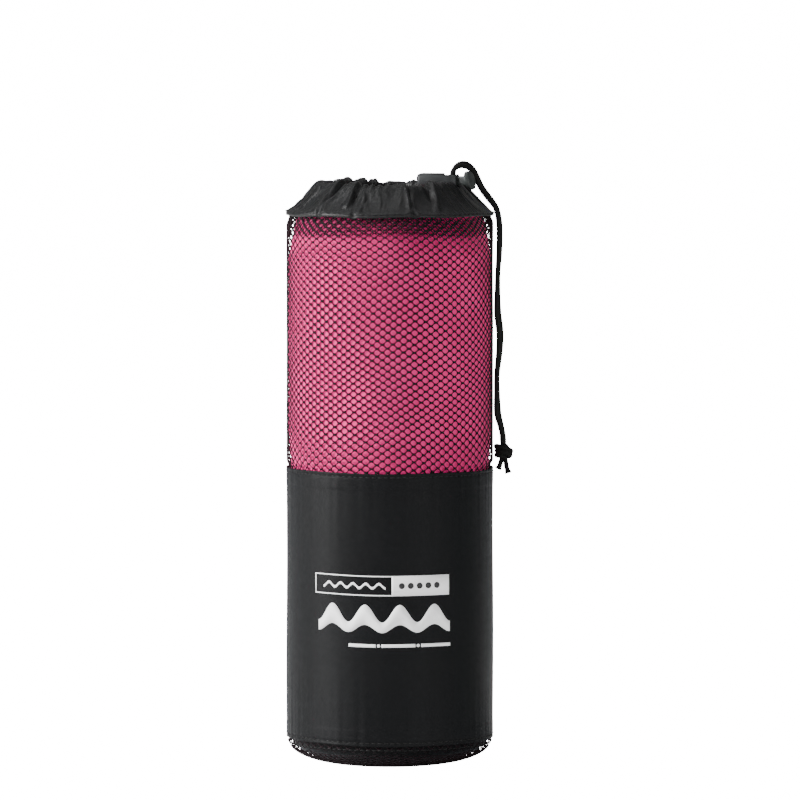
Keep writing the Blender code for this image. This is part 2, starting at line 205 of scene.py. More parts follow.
def cloth_piece(name, points, thickness, material, closed=True):
    """A sheet of that thickness on a grid of points, rows by columns, closed round its columns or open.
    Its UV map is in metres, along the rows and up the columns."""
    rows, columns = points.shape[:2]
    count = rows * columns
    if closed:
        along = np.roll(points, -1, 1) - np.roll(points, 1, 1)
    else:
        along = np.gradient(points, axis=1)
    up = np.gradient(points, axis=0)
    normal = np.cross(along, up)
    normal = normal / np.maximum(np.linalg.norm(normal, axis=2, keepdims=True), 1e-12)
    sides = [points + normal * thickness / 2, points - normal * thickness / 2]
    vertices = np.concatenate([side.reshape(-1, 3) for side in sides])

    index = np.arange(count).reshape(rows, columns)
    left = index if closed else index[:, :-1]
    right = np.roll(index, -1, 1) if closed else index[:, 1:]
    front = np.stack([left[:-1], right[:-1], right[1:], left[1:]], -1).reshape(-1, 4)
    low = np.stack([right[0], left[0], left[0] + count, right[0] + count], -1)
    high = np.stack([left[-1], right[-1], right[-1] + count, left[-1] + count], -1)
    faces = [front, front[:, ::-1] + count, low, high]
    if not closed:
        start, end = index[:, 0], index[:, -1]
        faces.append(np.stack([start[:-1], start[1:], start[1:] + count, start[:-1] + count], -1))
        faces.append(np.stack([end[1:], end[:-1], end[:-1] + count, end[1:] + count], -1))
    made = mesh_piece(name, vertices, np.concatenate(faces), material)

    reach = np.linalg.norm(np.diff(points, axis=1), axis=2).mean(0)
    rise = np.linalg.norm(np.diff(points, axis=0), axis=2).mean(1)
    across = np.concatenate([[0.0], np.cumsum(reach)])
    upward = np.concatenate([[0.0], np.cumsum(rise)])
    full_width = across[-1] + reach.mean()
    corner = np.zeros(len(made.data.loops), dtype=np.int32)
    made.data.loops.foreach_get("vertex_index", corner)
    row, column = np.divmod(corner % count, columns)
    uv = np.stack([across[column], upward[row]], -1).reshape(-1, 4, 2)
    if closed:
        wraps = (uv[:, :, 0].max(1) - uv[:, :, 0].min(1)) > full_width / 2
        uv[:, :, 0] += np.where(wraps[:, None] & (uv[:, :, 0] < full_width / 2), full_width, 0.0)
    made.data.uv_layers.new(name="cloth")
    made.data.uv_layers["cloth"].data.foreach_set("uv", uv.ravel())
    return made


def microfibre():
    """Suede-like microfibre: a soft sheen, brushed patches and very short pile."""
    made, tree, shader = finish_material(
        "magenta microfibre", (0.86, 0.04, 0.21), 0.92, Sheen_Weight=0.30, Sheen_Roughness=0.45,
        Sheen_Tint=(1.0, 0.62, 0.78, 1.0), Specular_IOR_Level=0.2,
    )
    place = add_node(tree, "ShaderNodeTexCoord").outputs["Object"]
    brushed = add_node(tree, "ShaderNodeTexNoise", (), {"Vector": place, "Scale": 70.0, "Detail": 4.0})
    pile = add_node(tree, "ShaderNodeTexNoise", (), {"Vector": place, "Scale": 2600.0, "Detail": 3.0})
    patches = sums(tree, "MULTIPLY", brushed.outputs[0], 0.6)
    tone = sums(tree, "ADD", patches, sums(tree, "MULTIPLY", pile.outputs[0], 0.4))
    colour = two_colours(tree, tone, (0.60, 0.009, 0.115), (0.93, 0.046, 0.270))
    tree.links.new(colour, shader.inputs["Base Color"])
    relief(tree, shader, tone, 0.25 * MM, 0.8)
    return made


def roll_towel():
    """The folded and rolled sheet. Each turn holds three layers, joined by folds at the top and the foot."""
    turns = (towel_high.x - LAYER * 2.5 - CORE_RADIUS) / (3 * LAYER)
    columns = 600
    straight, folded = 13, 5
    across = []                 # (layer offset, share of height, fold depth) over the three layers
    for layer in range(3):
        for i in range(straight):
            share = i / (straight - 1)
            across.append((layer * LAYER, share if layer % 2 == 0 else 1 - share, 0.0))
        if layer < 2:
            for i in range(1, folded):
                angle = math.pi * i / folded
                side = 1 if layer == 0 else -1
                offset = (layer + 0.5 - 0.5 * math.cos(angle)) * LAYER
                across.append((offset, 1.0 if side > 0 else 0.0, side * 0.5 * LAYER * math.sin(angle)))
    offset, share, bulge = (np.array(column)[:, None] for column in zip(*across))
    theta = np.linspace(0.0, turns * 2 * math.pi, columns)[None, :]
    start_angle = FREE_EDGE - turns * 2 * math.pi
    turn_radius = CORE_RADIUS + 3 * LAYER * theta / (2 * math.pi) + offset
    past_edge = np.mod(theta - turns * 2 * math.pi, 2 * math.pi)
    envelope = towel_high.x - 3 * LAYER * (1 - past_edge / (2 * math.pi))
    pressed = towel_high.x - 3 * LAYER * (1 - eased(past_edge, 0.0, math.radians(70.0)))
    turn_radius = turn_radius * (1 + (pressed / envelope - 1) * (turn_radius / envelope) ** 2)
    outer = np.clip((turn_radius - 17.0 * MM) / (lining_high.x - 0.5 * MM - 17.0 * MM), 0.0, 1.0)
    foot = towel_low.z + LAYER + (FOOT_RISE - towel_low.z) * (1 - np.sqrt(1 - outer ** 2))
    top = towel_high.z + HEAD_RISE - LAYER / 2 - 1.2 * MM + 1.1 * MM * ripples(theta, 0.0, 3, 3, 1.0, 8)
    height = foot + (top - foot) * share + bulge
    lean = 1.1 * eased(height, hem_low.z + 1.0 * MM, hem_low.z + 5.0 * MM) + 4.3 * eased(
        height, towel_high.z, towel_high.z + HEAD_RISE)
    swell = 1.85 * MM * eased(height, band_high.z, band_high.z + 9.0 * MM)
    tuck = np.clip((1.6 * FOOT_RISE - height) / (1.6 * FOOT_RISE), 0.0, 1.0) ** 2
    angle = start_angle + theta
    aside = (np.mod(angle, 2 * math.pi) - math.pi / 2) * towel_high.x
    groove = TAPE_GROOVE * np.exp(-((aside / (5.5 * MM)) ** 2))
    outward = turn_radius / towel_high.x
    radius = turn_radius + (swell - MM * (lean + 1.2 * tuck) - groove) * outward ** 5
    radius = radius + 0.22 * MM * ripples(theta, height, 5, 9, 0.09) * outward ** 2
    points = np.stack([radius * np.cos(angle), radius * np.sin(angle), height], -1)
    return cloth_piece("rolled_towel", points, NAP, microfibre(), closed=False)


towel = roll_towel()
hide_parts("towel_roll")
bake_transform(towel)


# Net. The wall, the base and the turned-in hem are one knitted polyester net: round-cornered holes in staggered
# rows, with flat knots beside each hole and thin legs above and below it. The wall stretches over the towel.

CELLS_AROUND = 60
CELL_RISE = 1.875 * MM          # from one staggered row of holes to the next
NET_THICKNESS = 0.55 * MM
HOLE = (1.72 * MM, 1.45 * MM)   # half its width and height
HOLE_CORNER = (1.12 * MM, 0.88 * MM)
wall_low, wall_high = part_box("net_wall")
casing_low, casing_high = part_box("casing")
base_low, base_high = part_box("base_net")
NET_RADIUS = wall_high.x - 0.25 * MM
CELL_PITCH = 2 * math.pi * NET_RADIUS / CELLS_AROUND


def net_yarn():
    """Black knitted polyester: yarns show as fine slanted ribs, in paler and darker patches."""
    made, tree, shader = finish_material(
        "black net yarn", (0.010, 0.006, 0.009), 0.62, Sheen_Weight=0.02, Sheen_Roughness=0.5, Specular_IOR_Level=0.12,
    )
    place = add_node(tree, "ShaderNodeTexCoord").outputs["Object"]
    ribs = add_node(
        tree, "ShaderNodeTexWave", {"wave_type": "BANDS", "bands_direction": "DIAGONAL"},
        {"Vector": place, "Scale": 900.0, "Distortion": 2.5, "Detail": 2.0, "Detail Scale": 2.0},
    ).outputs["Fac"]
    patches = add_node(tree, "ShaderNodeTexNoise", (), {"Vector": place, "Scale": 45.0, "Detail": 3.0}).outputs[0]
    tone = sums(tree, "MULTIPLY", ribs, patches)
    tree.links.new(two_colours(tree, tone, (0.004, 0.001, 0.002), (0.020, 0.006, 0.012)), shader.inputs["Base Color"])
    relief(tree, shader, ribs, 0.08 * MM, 0.7)
    return made


def net_cell():
    """One hole of the net and the yarn round it, out to the rhombus that it shares with its neighbours."""
    half_width, half_height = CELL_PITCH / 2, CELL_RISE
    rim, edge = [], []
    for x, y in ((1, 0), (1, 1), (0, 1), (-1, 1), (-1, 0), (-1, -1), (0, -1), (1, -1)):
        size = HOLE_CORNER if x and y else HOLE
        share = 0.5 if x and y else 1.0
        rim.append((x * size[0], y * size[1], 0.0))
        edge.append((x * half_width * share, y * half_height * share))
    depth = NET_THICKNESS / 2
    vertices = rim + [(x, y, depth) for x, y in edge] + [(x, y, -depth) for x, y in edge]
    faces = []
    for i in range(8):
        j = (i + 1) % 8
        faces.append((i, 8 + i, 8 + j, j))
        faces.append((16 + i, i, j, 16 + j))
    data = bpy.data.meshes.new("net_cell")
    data.from_pydata(vertices, [], faces)
    return bpy.data.objects.new("net_cell", data)


def tree_sockets(tree, sockets):
    """The tree's inputs by name, after the ones it takes and its one result are declared."""
    for name, kind in sockets.items():
        tree.interface.new_socket(name=name, in_out="INPUT", socket_type="NodeSocket" + kind)
    tree.interface.new_socket(name="Geometry", in_out="OUTPUT", socket_type="NodeSocketGeometry")
    return tree.nodes.new("NodeGroupInput").outputs


def net_lattice():
    """Geometry nodes that lay cells out flat in staggered rows, keep those in reach, and join them."""
    tree = bpy.data.node_groups.new("net lattice", "GeometryNodeTree")
    given = tree_sockets(tree, {
        "Cell": "Object", "Across": "Int", "Rows": "Int", "Pitch": "Float", "Rise": "Float", "Reach": "Float",
        "Material": "Material",
    })
    width = sums(tree, "MULTIPLY", sums(tree, "SUBTRACT", given["Across"], 1.0), given["Pitch"])
    height = sums(tree, "MULTIPLY", sums(tree, "SUBTRACT", given["Rows"], 1.0), given["Rise"])
    grid = add_node(tree, "GeometryNodeMeshGrid", (), {
        "Size X": width, "Size Y": height, "Vertices X": given["Across"], "Vertices Y": given["Rows"],
    })
    place = add_node(tree, "GeometryNodeInputPosition").outputs[0]
    level = add_node(tree, "ShaderNodeSeparateXYZ", (), {0: place}).outputs["Y"]
    above_foot = sums(tree, "ADD", level, sums(tree, "DIVIDE", height, 2.0))
    row = sums(tree, "ROUND", sums(tree, "DIVIDE", above_foot, given["Rise"]))
    shift = sums(tree, "MULTIPLY", sums(tree, "MODULO", row, 2.0), sums(tree, "DIVIDE", given["Pitch"], 2.0))
    offset = add_node(tree, "ShaderNodeCombineXYZ", (), {"X": shift}).outputs[0]
    staggered = add_node(tree, "GeometryNodeSetPosition", (), {"Geometry": grid.outputs["Mesh"], "Offset": offset})
    reach = add_node(tree, "ShaderNodeVectorMath", {"operation": "LENGTH"}, {0: place}).outputs["Value"]
    beyond = add_node(tree, "FunctionNodeCompare", {"operation": "GREATER_THAN"}, {0: reach, 1: given["Reach"]})
    kept = add_node(
        tree, "GeometryNodeDeleteGeometry", {"domain": "POINT"},
        {"Geometry": staggered.outputs[0], "Selection": beyond.outputs[0]},
    )
    cell = add_node(tree, "GeometryNodeObjectInfo", (), {"Object": given["Cell"]}).outputs["Geometry"]
    cells = add_node(tree, "GeometryNodeInstanceOnPoints", (), {"Points": kept.outputs[0], "Instance": cell})
    real = add_node(tree, "GeometryNodeRealizeInstances", (), {"Geometry": cells.outputs[0]})
    joined = add_node(
        tree, "GeometryNodeMergeByDistance", (), {"Geometry": real.outputs[0], "Distance": 0.02 * MM}
    )
    coloured = add_node(
        tree, "GeometryNodeSetMaterial", (), {"Geometry": joined.outputs[0], "Material": given["Material"]}
    )
    add_node(tree, "NodeGroupOutput", (), {"Geometry": coloured.outputs[0]})
    return tree


def made_by(tree, name, values):
    """The plain mesh that a geometry tree gives for those input values, as an object."""
    holder = bpy.data.objects.new(name, bpy.data.meshes.new(name + "_start"))
    bpy.context.collection.objects.link(holder)
    modifier = holder.modifiers.new("nodes", "NODES")
    modifier.node_group = tree
    for item in tree.interface.items_tree:
        if item.in_out == "INPUT" and item.name in values:
            modifier[item.identifier] = values[item.name]
    bpy.context.view_layer.update()
    result = bpy.data.meshes.new_from_object(holder.evaluated_get(bpy.context.evaluated_depsgraph_get()))
    holder.modifiers.clear()
    holder.data = result
    result.name = name
    return holder


def positions(piece):
    """The piece's vertices, as rows of x, y and z."""
    flat = np.zeros(len(piece.data.vertices) * 3)
    piece.data.vertices.foreach_get("co", flat)
    return flat.reshape(-1, 3)


def move_to(piece, places, weld=None):
    """Puts the piece's vertices there, joins those that meet, and shades it smooth."""
    piece.data.vertices.foreach_set("co", np.asarray(places, dtype=np.float64).ravel())
    if weld:
        shape = bmesh.new()
        shape.from_mesh(piece.data)
        bmesh.ops.remove_doubles(shape, verts=shape.verts, dist=weld)
        shape.to_mesh(piece.data)
        shape.free()
    piece.data.update()
    piece.data.shade_smooth()


CELL = net_cell()
LATTICE = net_lattice()
NET_YARN = net_yarn()


def flat_net(name, across, rows, reach):
    return made_by(LATTICE, name, {
        "Cell": CELL, "Across": across, "Rows": rows, "Pitch": CELL_PITCH, "Rise": CELL_RISE, "Reach": reach,
        "Material": NET_YARN,
    })


def round_net(name, rows, foot, radius_at, drift, turn=0.0):
    """A strip of net closed round the bag, from the foot's height up. It drifts by that much in its own plane."""
    piece = flat_net(name, CELLS_AROUND, rows, 10.0)
    x, y, depth = positions(piece).T
    angle = x / NET_RADIUS + turn
    height = y + (rows - 1) * CELL_RISE / 2 + foot
    slip = drift * ripples(angle, height, 11, 4, 0.075)
    rise = drift * ripples(angle, height, 12, 5, 0.060)
    angle = angle + slip / NET_RADIUS
    radius = radius_at(angle, height) + depth
    height = height + rise
    move_to(piece, np.stack([radius * np.sin(angle), -radius * np.cos(angle), height], -1), weld=0.05 * MM)
    return piece


def wall_radius(angle, height):
    """The wall stands out between band and casing, and follows the towel's soft bulges."""
    tucked = band_high.x - 1.5 * MM - NET_THICKNESS / 2
    past_band = eased(height, band_high.z, band_high.z + 3.5 * MM)
    free = past_band * (1 - eased(height, casing_low.z - 5.0 * MM, casing_low.z))
    soft = 0.10 * MM * ripples(angle, height, 21, 7, 0.045)
    return tucked + free * (NET_RADIUS - tucked + soft)


shown_rows = int((casing_low.z + 2.5 * MM - band_high.z + 6.0 * MM) / CELL_RISE)
wall = round_net("net_wall_upper", shown_rows, band_high.z - 6.0 * MM, wall_radius, 1.0 * MM)
low_rows = 6
low_wall = round_net(
    "net_wall_foot", low_rows, base_high.z + 0.5 * MM, lambda a, z: NET_RADIUS - 1.0 * MM + 0 * a, 0.0
)
middle_angles = np.linspace(0.0, 2 * math.pi, 121)[None, :-1]
middle_heights = np.linspace(base_high.z + low_rows * CELL_RISE, band_high.z - 4.0 * MM, 12)[:, None]
middle_radius = NET_RADIUS - 1.1 * MM + 0 * middle_angles * middle_heights
middle = cloth_piece(
    "net_wall_under_band",
    np.stack([middle_radius * np.sin(middle_angles), -middle_radius * np.cos(middle_angles),
              middle_heights + 0 * middle_angles], -1),
    NET_THICKNESS, NET_YARN,
)


def joined(name, pieces, material):
    """One object of the meshes of those pieces, which are removed."""
    shape = bmesh.new()
    for piece in pieces:
        shape.from_mesh(piece.data)
    for face in shape.faces:
        face.material_index = 0
    data = bpy.data.meshes.new(name)
    shape.to_mesh(data)
    shape.free()
    data.materials.append(material)
    data.shade_smooth()
    for piece in pieces:
        bpy.data.objects.remove(piece, do_unlink=True)
    made = bpy.data.objects.new(name, data)
    bpy.context.collection.objects.link(made)
    return made


wall = joined("net_tube", [wall, low_wall, middle], NET_YARN)
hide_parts("net_wall")
hem = round_net(
    "net_hem_strip", 5, casing_low.z - 8.0 * MM, lambda a, z: wall_radius(a, z) - 0.75 * MM, 0.9 * MM,
    turn=0.5 * CELL_PITCH / NET_RADIUS,
)
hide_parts("net_hem")

FOOT_FLAT = 20.0 * MM


def to_dish(piece, rim_radius, rim_height, inset):
    """Drapes a flat round net over the base, whose middle is flat and whose side turns up to the wall."""
    x, y, depth = positions(piece).T
    reach = np.hypot(x, y)
    way = np.arctan2(y, x)
    span_out, span_up = rim_radius - FOOT_FLAT, rim_height - inset
    arc_length = math.pi / 2 * math.sqrt((span_out ** 2 + span_up ** 2) / 2)
    turn = np.clip((reach - FOOT_FLAT) / arc_length, 0.0, 1.12) * math.pi / 2
    curved = reach > FOOT_FLAT
    radius = np.where(curved, FOOT_FLAT + span_out * np.sin(turn), reach)
    height = np.where(curved, rim_height - span_up * np.cos(turn), inset)
    out = np.where(curved, np.sin(turn) * span_up, 0.0)
    down = np.where(curved, np.cos(turn) * span_out, 1.0)
    size = np.hypot(out, down)
    radius, height = radius + depth * out / size, height - depth * down / size
    move_to(piece, np.stack([radius * np.cos(way), radius * np.sin(way), height], -1))


base_rim = NET_RADIUS - 1.0 * MM
base = flat_net("net_base", 22, 56, 50.0 * MM)
to_dish(base, base_rim, base_high.z, NET_THICKNESS / 2 + 0.05 * MM)
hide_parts("base_net")
for piece in (wall, hem, base):
    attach(piece, "bag")


# Woven cloth. The band round the lower half, the lining inside the base and the binding on the side seam are
# cut from one black plain-weave polyester, whose two sets of fine yarns cross over and under each other.


def weave_group():
    """Plain weave on a map in metres: how high the yarns stand, and irregular pale and dark yarns."""
    tree = bpy.data.node_groups.new("plain weave", "ShaderNodeTree")
    for name, kind in (("Map", "Vector"), ("Yarn", "Float")):
        tree.interface.new_socket(name=name, in_out="INPUT", socket_type="NodeSocket" + kind)
    for name in ("Height", "Tone"):
        tree.interface.new_socket(name=name, in_out="OUTPUT", socket_type="NodeSocketFloat")
    given = tree.nodes.new("NodeGroupInput").outputs
    part = add_node(tree, "ShaderNodeSeparateXYZ", (), {0: given["Map"]}).outputs
    across = sums(tree, "DIVIDE", part["X"], given["Yarn"])
    up = sums(tree, "DIVIDE", part["Y"], given["Yarn"])
    square = sums(tree, "MODULO", sums(tree, "ADD", sums(tree, "FLOOR", across), sums(tree, "FLOOR", up)), 2.0)
    over = sums(tree, "ABSOLUTE", square)
    arch_across = sums(tree, "SINE", sums(tree, "MULTIPLY", sums(tree, "FRACT", across), math.pi))
    arch_up = sums(tree, "SINE", sums(tree, "MULTIPLY", sums(tree, "FRACT", up), math.pi))
    height = sums(
        tree, "ADD", sums(tree, "MULTIPLY", arch_across, over),
        sums(tree, "MULTIPLY", arch_up, sums(tree, "SUBTRACT", 1.0, over)),
    )
    stretched = add_node(tree, "ShaderNodeMapping", (), {"Vector": given["Map"], "Scale": (40.0, 1800.0, 1.0)})
    slubs = add_node(tree, "ShaderNodeTexNoise", (), {"Vector": stretched.outputs[0], "Scale": 1.0, "Detail": 2.0})
    add_node(tree, "NodeGroupOutput", (), {"Height": height, "Tone": slubs.outputs[0]})
    return tree


WEAVE = weave_group()


def woven(name, dark, light, roughness, yarn, **uniform):
    """A woven cloth between those two colours, of yarns that far apart, with painted shade where the yarns dip."""
    middle_colour = tuple((a + b) / 2 for a, b in zip(dark, light))
    made, tree, shader = finish_material(name, middle_colour, roughness, **uniform)
    flat = add_node(tree, "ShaderNodeUVMap", {"uv_map": "cloth"}).outputs[0]
    weave = add_node(tree, "ShaderNodeGroup", {"node_tree": WEAVE}, {"Map": flat, "Yarn": yarn}).outputs
    place = add_node(tree, "ShaderNodeTexCoord").outputs["Object"]
    dust = add_node(tree, "ShaderNodeTexNoise", (), {"Vector": place, "Scale": 28.0, "Detail": 5.0}).outputs[0]
    # The yarns' height darkens the colour where they dip under each other, as painted shade between the yarns. Slubs
    # and dust patches add random pale and dark yarns on top.
    tone = sums(tree, "MULTIPLY", sums(tree, "ADD", weave["Height"], weave["Tone"]), dust)
    tree.links.new(two_colours(tree, tone, dark, light), shader.inputs["Base Color"])
    worn = sums(tree, "ADD", roughness - 0.08, sums(tree, "MULTIPLY", dust, 0.16))
    tree.links.new(worn, shader.inputs["Roughness"])
    relief(tree, shader, weave["Height"], 0.06 * MM, 0.6)
    return made


BAND_CLOTH = woven(
    "charcoal band cloth", (0.0008, 0.0009, 0.0011), (0.0030, 0.0033, 0.0040), 0.44, 0.42 * MM,
    Sheen_Weight=0.09, Sheen_Roughness=0.30, Sheen_Tint=(0.80, 0.90, 1.0, 1.0), Specular_IOR_Level=0.10,
)


def round_grid(columns, heights, radius_at):
    """Points round the bag's axis, rows by columns, starting at the back seam. radius_at takes (angle, height)."""
    angle = np.linspace(0.0, 2 * math.pi, columns, endpoint=False)[None, :]
    height = np.asarray(heights)[:, None] + 0 * angle
    radius = radius_at(angle, height)
    return np.stack([-radius * np.sin(angle), radius * np.cos(angle), height], -1)


# Base lining. A disc of the woven cloth inside the net base, gathered up round the towel's foot.

lining_steps = np.linspace(0.0, 1.0, 26)
lining_reach = np.where(lining_steps < 0.3, lining_steps / 0.3 * FOOT_FLAT, 0.0)
lining_turn = np.clip((lining_steps - 0.3) / 0.7, 0.0, 1.0) * math.pi / 2
lining_rim = lining_high.x - 0.4 * MM
lining_top = lining_high.z + 3.2 * MM
lining_profile = [
    (max(0.3 * MM, reach), lining_low.z + 0.3 * MM) if share < 0.3 else (
        FOOT_FLAT + (lining_rim - FOOT_FLAT) * math.sin(turn),
        lining_top - (lining_top - lining_low.z - 0.3 * MM) * math.cos(turn),
    )
    for share, reach, turn in zip(lining_steps, lining_reach, lining_turn)
]
lining_angles = np.linspace(0.0, 2 * math.pi, 120, endpoint=False)
lining_points = np.array([
    [(r * math.cos(a), r * math.sin(a), z) for a in lining_angles] for r, z in lining_profile
])
lining = cloth_piece("base_lining_disc", lining_points[::-1], 0.4 * MM, BAND_CLOTH)
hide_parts("base_lining")
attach(lining, "bag")


# Band. One strip of the woven cloth with its long edges turned in, sewn round the net. It lies almost flat on
# the towel behind it, so it shows only long shallow waves, and its hems stand a little proud.

HEM_WIDTH = 8.0 * MM
BAND_THICKNESS = 0.5 * MM
BAND_TILT = 0.25 * MM


def band_edge(angle):
    """How far the band's edges wander up and down as they were sewn."""
    return BAND_TILT * np.sin(angle + 0.6) + 0.22 * MM * ripples(angle, 0.0, 31, 6, 1.0, 8)


def band_radius(angle, height):
    low, high = band_low.z, band_high.z
    hems = (1 - eased(height, low + HEM_WIDTH - 0.8 * MM, low + HEM_WIDTH + 0.8 * MM)) + eased(
        height, high - HEM_WIDTH - 0.8 * MM, high - HEM_WIDTH + 0.8 * MM)
    stitched = np.exp(-(((height - low - 1.8 * MM) / (0.7 * MM)) ** 2)) + np.exp(
        -(((height - high + 1.8 * MM) / (0.7 * MM)) ** 2))
    middle = np.sin(np.clip((height - low) / (high - low), 0.0, 1.0) * math.pi)
    waves = ripples(angle, height, 33, 5, 0.16) * 0.30 * MM * middle
    puckers = 0.10 * MM * ripples(angle, height * 0.2, 35, 90, 0.1, 30) * (1 - middle)
    return band_high.x - 0.42 * MM + 0.10 * MM * hems - 0.16 * MM * stitched + waves + puckers


band_heights = np.concatenate([
    np.linspace(band_low.z, band_low.z + 10.0 * MM, 22)[:-1],
    np.linspace(band_low.z + 10.0 * MM, band_high.z - 10.0 * MM, 40),
    np.linspace(band_high.z - 10.0 * MM, band_high.z, 22)[1:],
])
band_points = round_grid(300, band_heights, band_radius)
band_angles = np.linspace(0.0, 2 * math.pi, 300, endpoint=False)
band_points[:, :, 2] += band_edge(band_angles)[None, :]
band = cloth_piece("woven_band", band_points, BAND_THICKNESS, BAND_CLOTH)
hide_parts("band_panel")
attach(band, "bag")


# Side seam. The net's edges meet at the back in a seam that is bound inside with folded woven tape.

binding_low, binding_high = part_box("side_seam_binding")
tape_heights = np.linspace(binding_low.z, casing_low.z + 1.0 * MM, 64)[:, None]
tape_x = np.linspace(binding_low.x, binding_high.x, 9)[None, :]
tape_depth = binding_high.y - 0.25 * MM + 0.12 * MM * np.sin(tape_heights * 2 * math.pi / (9.0 * MM) + 40 * tape_x)
tape_depth = tape_depth - 0.9 * MM * eased(tape_heights, casing_low.z - 10.0 * MM, casing_low.z - 7.0 * MM)
tape = cloth_piece(
    "seam_tape", np.stack([-tape_x + 0 * tape_heights, tape_depth, tape_heights + 0 * tape_x], -1),
    0.45 * MM, BAND_CLOTH, closed=False,
)
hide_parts("side_seam_binding")
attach(tape, "bag")


# Print. A screen-printed mark in white ink on the band's front: a framed bar, four bold waves and a line of
# dashes and dots. The ink is a thin skin that follows the cloth.

INK_SKIN = 0.12 * MM
PRINT_STEP = 0.9 * MM


def ink(name, colour):
    """Screen ink that the weave shows through."""
    made, tree, shader = finish_material(name, colour, 0.55, Specular_IOR_Level=0.4)
    place = add_node(tree, "ShaderNodeTexCoord").outputs["Object"]
    grain = add_node(tree, "ShaderNodeTexNoise", (), {"Vector": place, "Scale": 1500.0, "Detail": 3.0}).outputs[0]
    thin = tuple(0.86 * part for part in colour)
    tree.links.new(two_colours(tree, grain, thin, colour), shader.inputs["Base Color"])
    relief(tree, shader, grain, 0.05 * MM, 0.5)
    return made


def printed(name, shapes, material, lift):
    """Flat shapes on the band's front. Each is (start, end, low, high), with low and high heights for a place."""
    vertices, faces = [], []
    for start, end, low, high in shapes:
        steps = max(14, math.ceil((end - start) / PRINT_STEP))
        rungs = 3
        first = len(vertices)
        for i in range(steps + 1):
            place = start + (end - start) * i / steps
            for j in range(rungs):
                height = low(place) + (high(place) - low(place)) * j / (rungs - 1)
                angle = math.pi + place / band_high.x
                radius = float(band_radius(angle, height)) + BAND_THICKNESS / 2 + lift
                rise = float(band_edge(np.array(angle)))
                vertices.append((-radius * math.sin(angle), radius * math.cos(angle), height + rise))
        for i in range(steps):
            for j in range(rungs - 1):
                a = first + i * rungs + j
                faces.append((a, a + rungs, a + rungs + 1, a + 1))
    piece = mesh_piece(name, vertices, faces, material)
    skin = piece.modifiers.new("skin", "SOLIDIFY")
    skin.thickness = INK_SKIN
    skin.offset = -1.0
    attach(piece, "bag")
    return piece


def level(height):
    return lambda place: height


def block(left, right, low, high):
    return (left, right, level(low), level(high))


def disc(x, z, radius):
    """A round dot, as a shape between its lower and upper arcs."""
    def half(place):
        return math.sqrt(max(0.0, radius ** 2 - (place - x) ** 2))
    return (x - radius, x + radius, lambda p: z - half(p), lambda p: z + half(p))


def crests(left, right, base_line, height, waves, weight, trough=1.0):
    """A band of rolling waves of that weight. A trough under 1 fills the waves from below."""
    def swell(place):
        return height * (0.5 - 0.5 * math.cos(2 * math.pi * waves * (place - left) / (right - left)))
    return (left, right, lambda p: base_line + trough * swell(p), lambda p: base_line + swell(p) + weight)


BAR_LEFT, BAR_RIGHT = -41.0 * MM, 30.9 * MM
BAR_LOW, BAR_HIGH = 88.4 * MM, 98.4 * MM
BAR_SPLIT = 1.0 * MM
LINE = 0.55 * MM
WHITE = ink("white ink", (0.95, 0.95, 0.95))
BLACK = ink("black ink", (0.012, 0.012, 0.013))
bar_middle = (BAR_LOW + BAR_HIGH) / 2
white_shapes = [
    block(BAR_LEFT, BAR_SPLIT, BAR_HIGH - LINE, BAR_HIGH),
    block(BAR_LEFT, BAR_SPLIT, BAR_LOW, BAR_LOW + LINE),
    block(BAR_LEFT, BAR_LEFT + LINE, BAR_LOW + LINE, BAR_HIGH - LINE),
    block(BAR_SPLIT, BAR_RIGHT, BAR_LOW, BAR_HIGH),
    crests(BAR_LEFT + 5.5 * MM, BAR_SPLIT - 3.0 * MM, bar_middle - 1.9 * MM, 2.3 * MM, 5, 1.3 * MM),
    crests(-38.9 * MM, 31.5 * MM, 70.1 * MM, 8.8 * MM, 4, 5.2 * MM, trough=0.45),
]
dash_left = -21.0 * MM
for width in (14.0 * MM, 17.0 * MM, 16.0 * MM):
    white_shapes.append(block(dash_left, dash_left + width, 62.9 * MM, 64.5 * MM))
    dash_left += width + 2.9 * MM
    white_shapes.append(disc(dash_left - 1.45 * MM, 63.7 * MM, 0.8 * MM))
white_shapes.pop()
print_white = printed("print_white", white_shapes, WHITE, 0.10 * MM)
black_shapes = [disc(x * MM, bar_middle, 1.5 * MM) for x in (6.0, 10.5, 15.0, 19.5, 24.0)]
print_black = printed("print_black", black_shapes, BLACK, 0.24 * MM)


# Stitches. Every seam is a line of lockstitch in black thread: short stitches that stand on the cloth with a
# small gap where the needle went down.

STITCH_PITCH = 3.1 * MM
STITCH_LENGTH = 2.55 * MM
THREAD = 0.26 * MM


def thread_material():
    made, tree, shader = finish_material(
        "black thread", (0.006, 0.006, 0.007), 0.5, Sheen_Weight=0.03, Sheen_Roughness=0.35, Specular_IOR_Level=0.15,
    )
    place = add_node(tree, "ShaderNodeTexCoord").outputs["Object"]
    twist = add_node(
        tree, "ShaderNodeTexWave", {"bands_direction": "DIAGONAL"},
        {"Vector": place, "Scale": 2600.0, "Distortion": 0.6},
    ).outputs["Fac"]
    tree.links.new(two_colours(tree, twist, (0.003, 0.003, 0.003), (0.014, 0.014, 0.015)), shader.inputs["Base Color"])
    relief(tree, shader, twist, 0.05 * MM, 0.8)
    return made


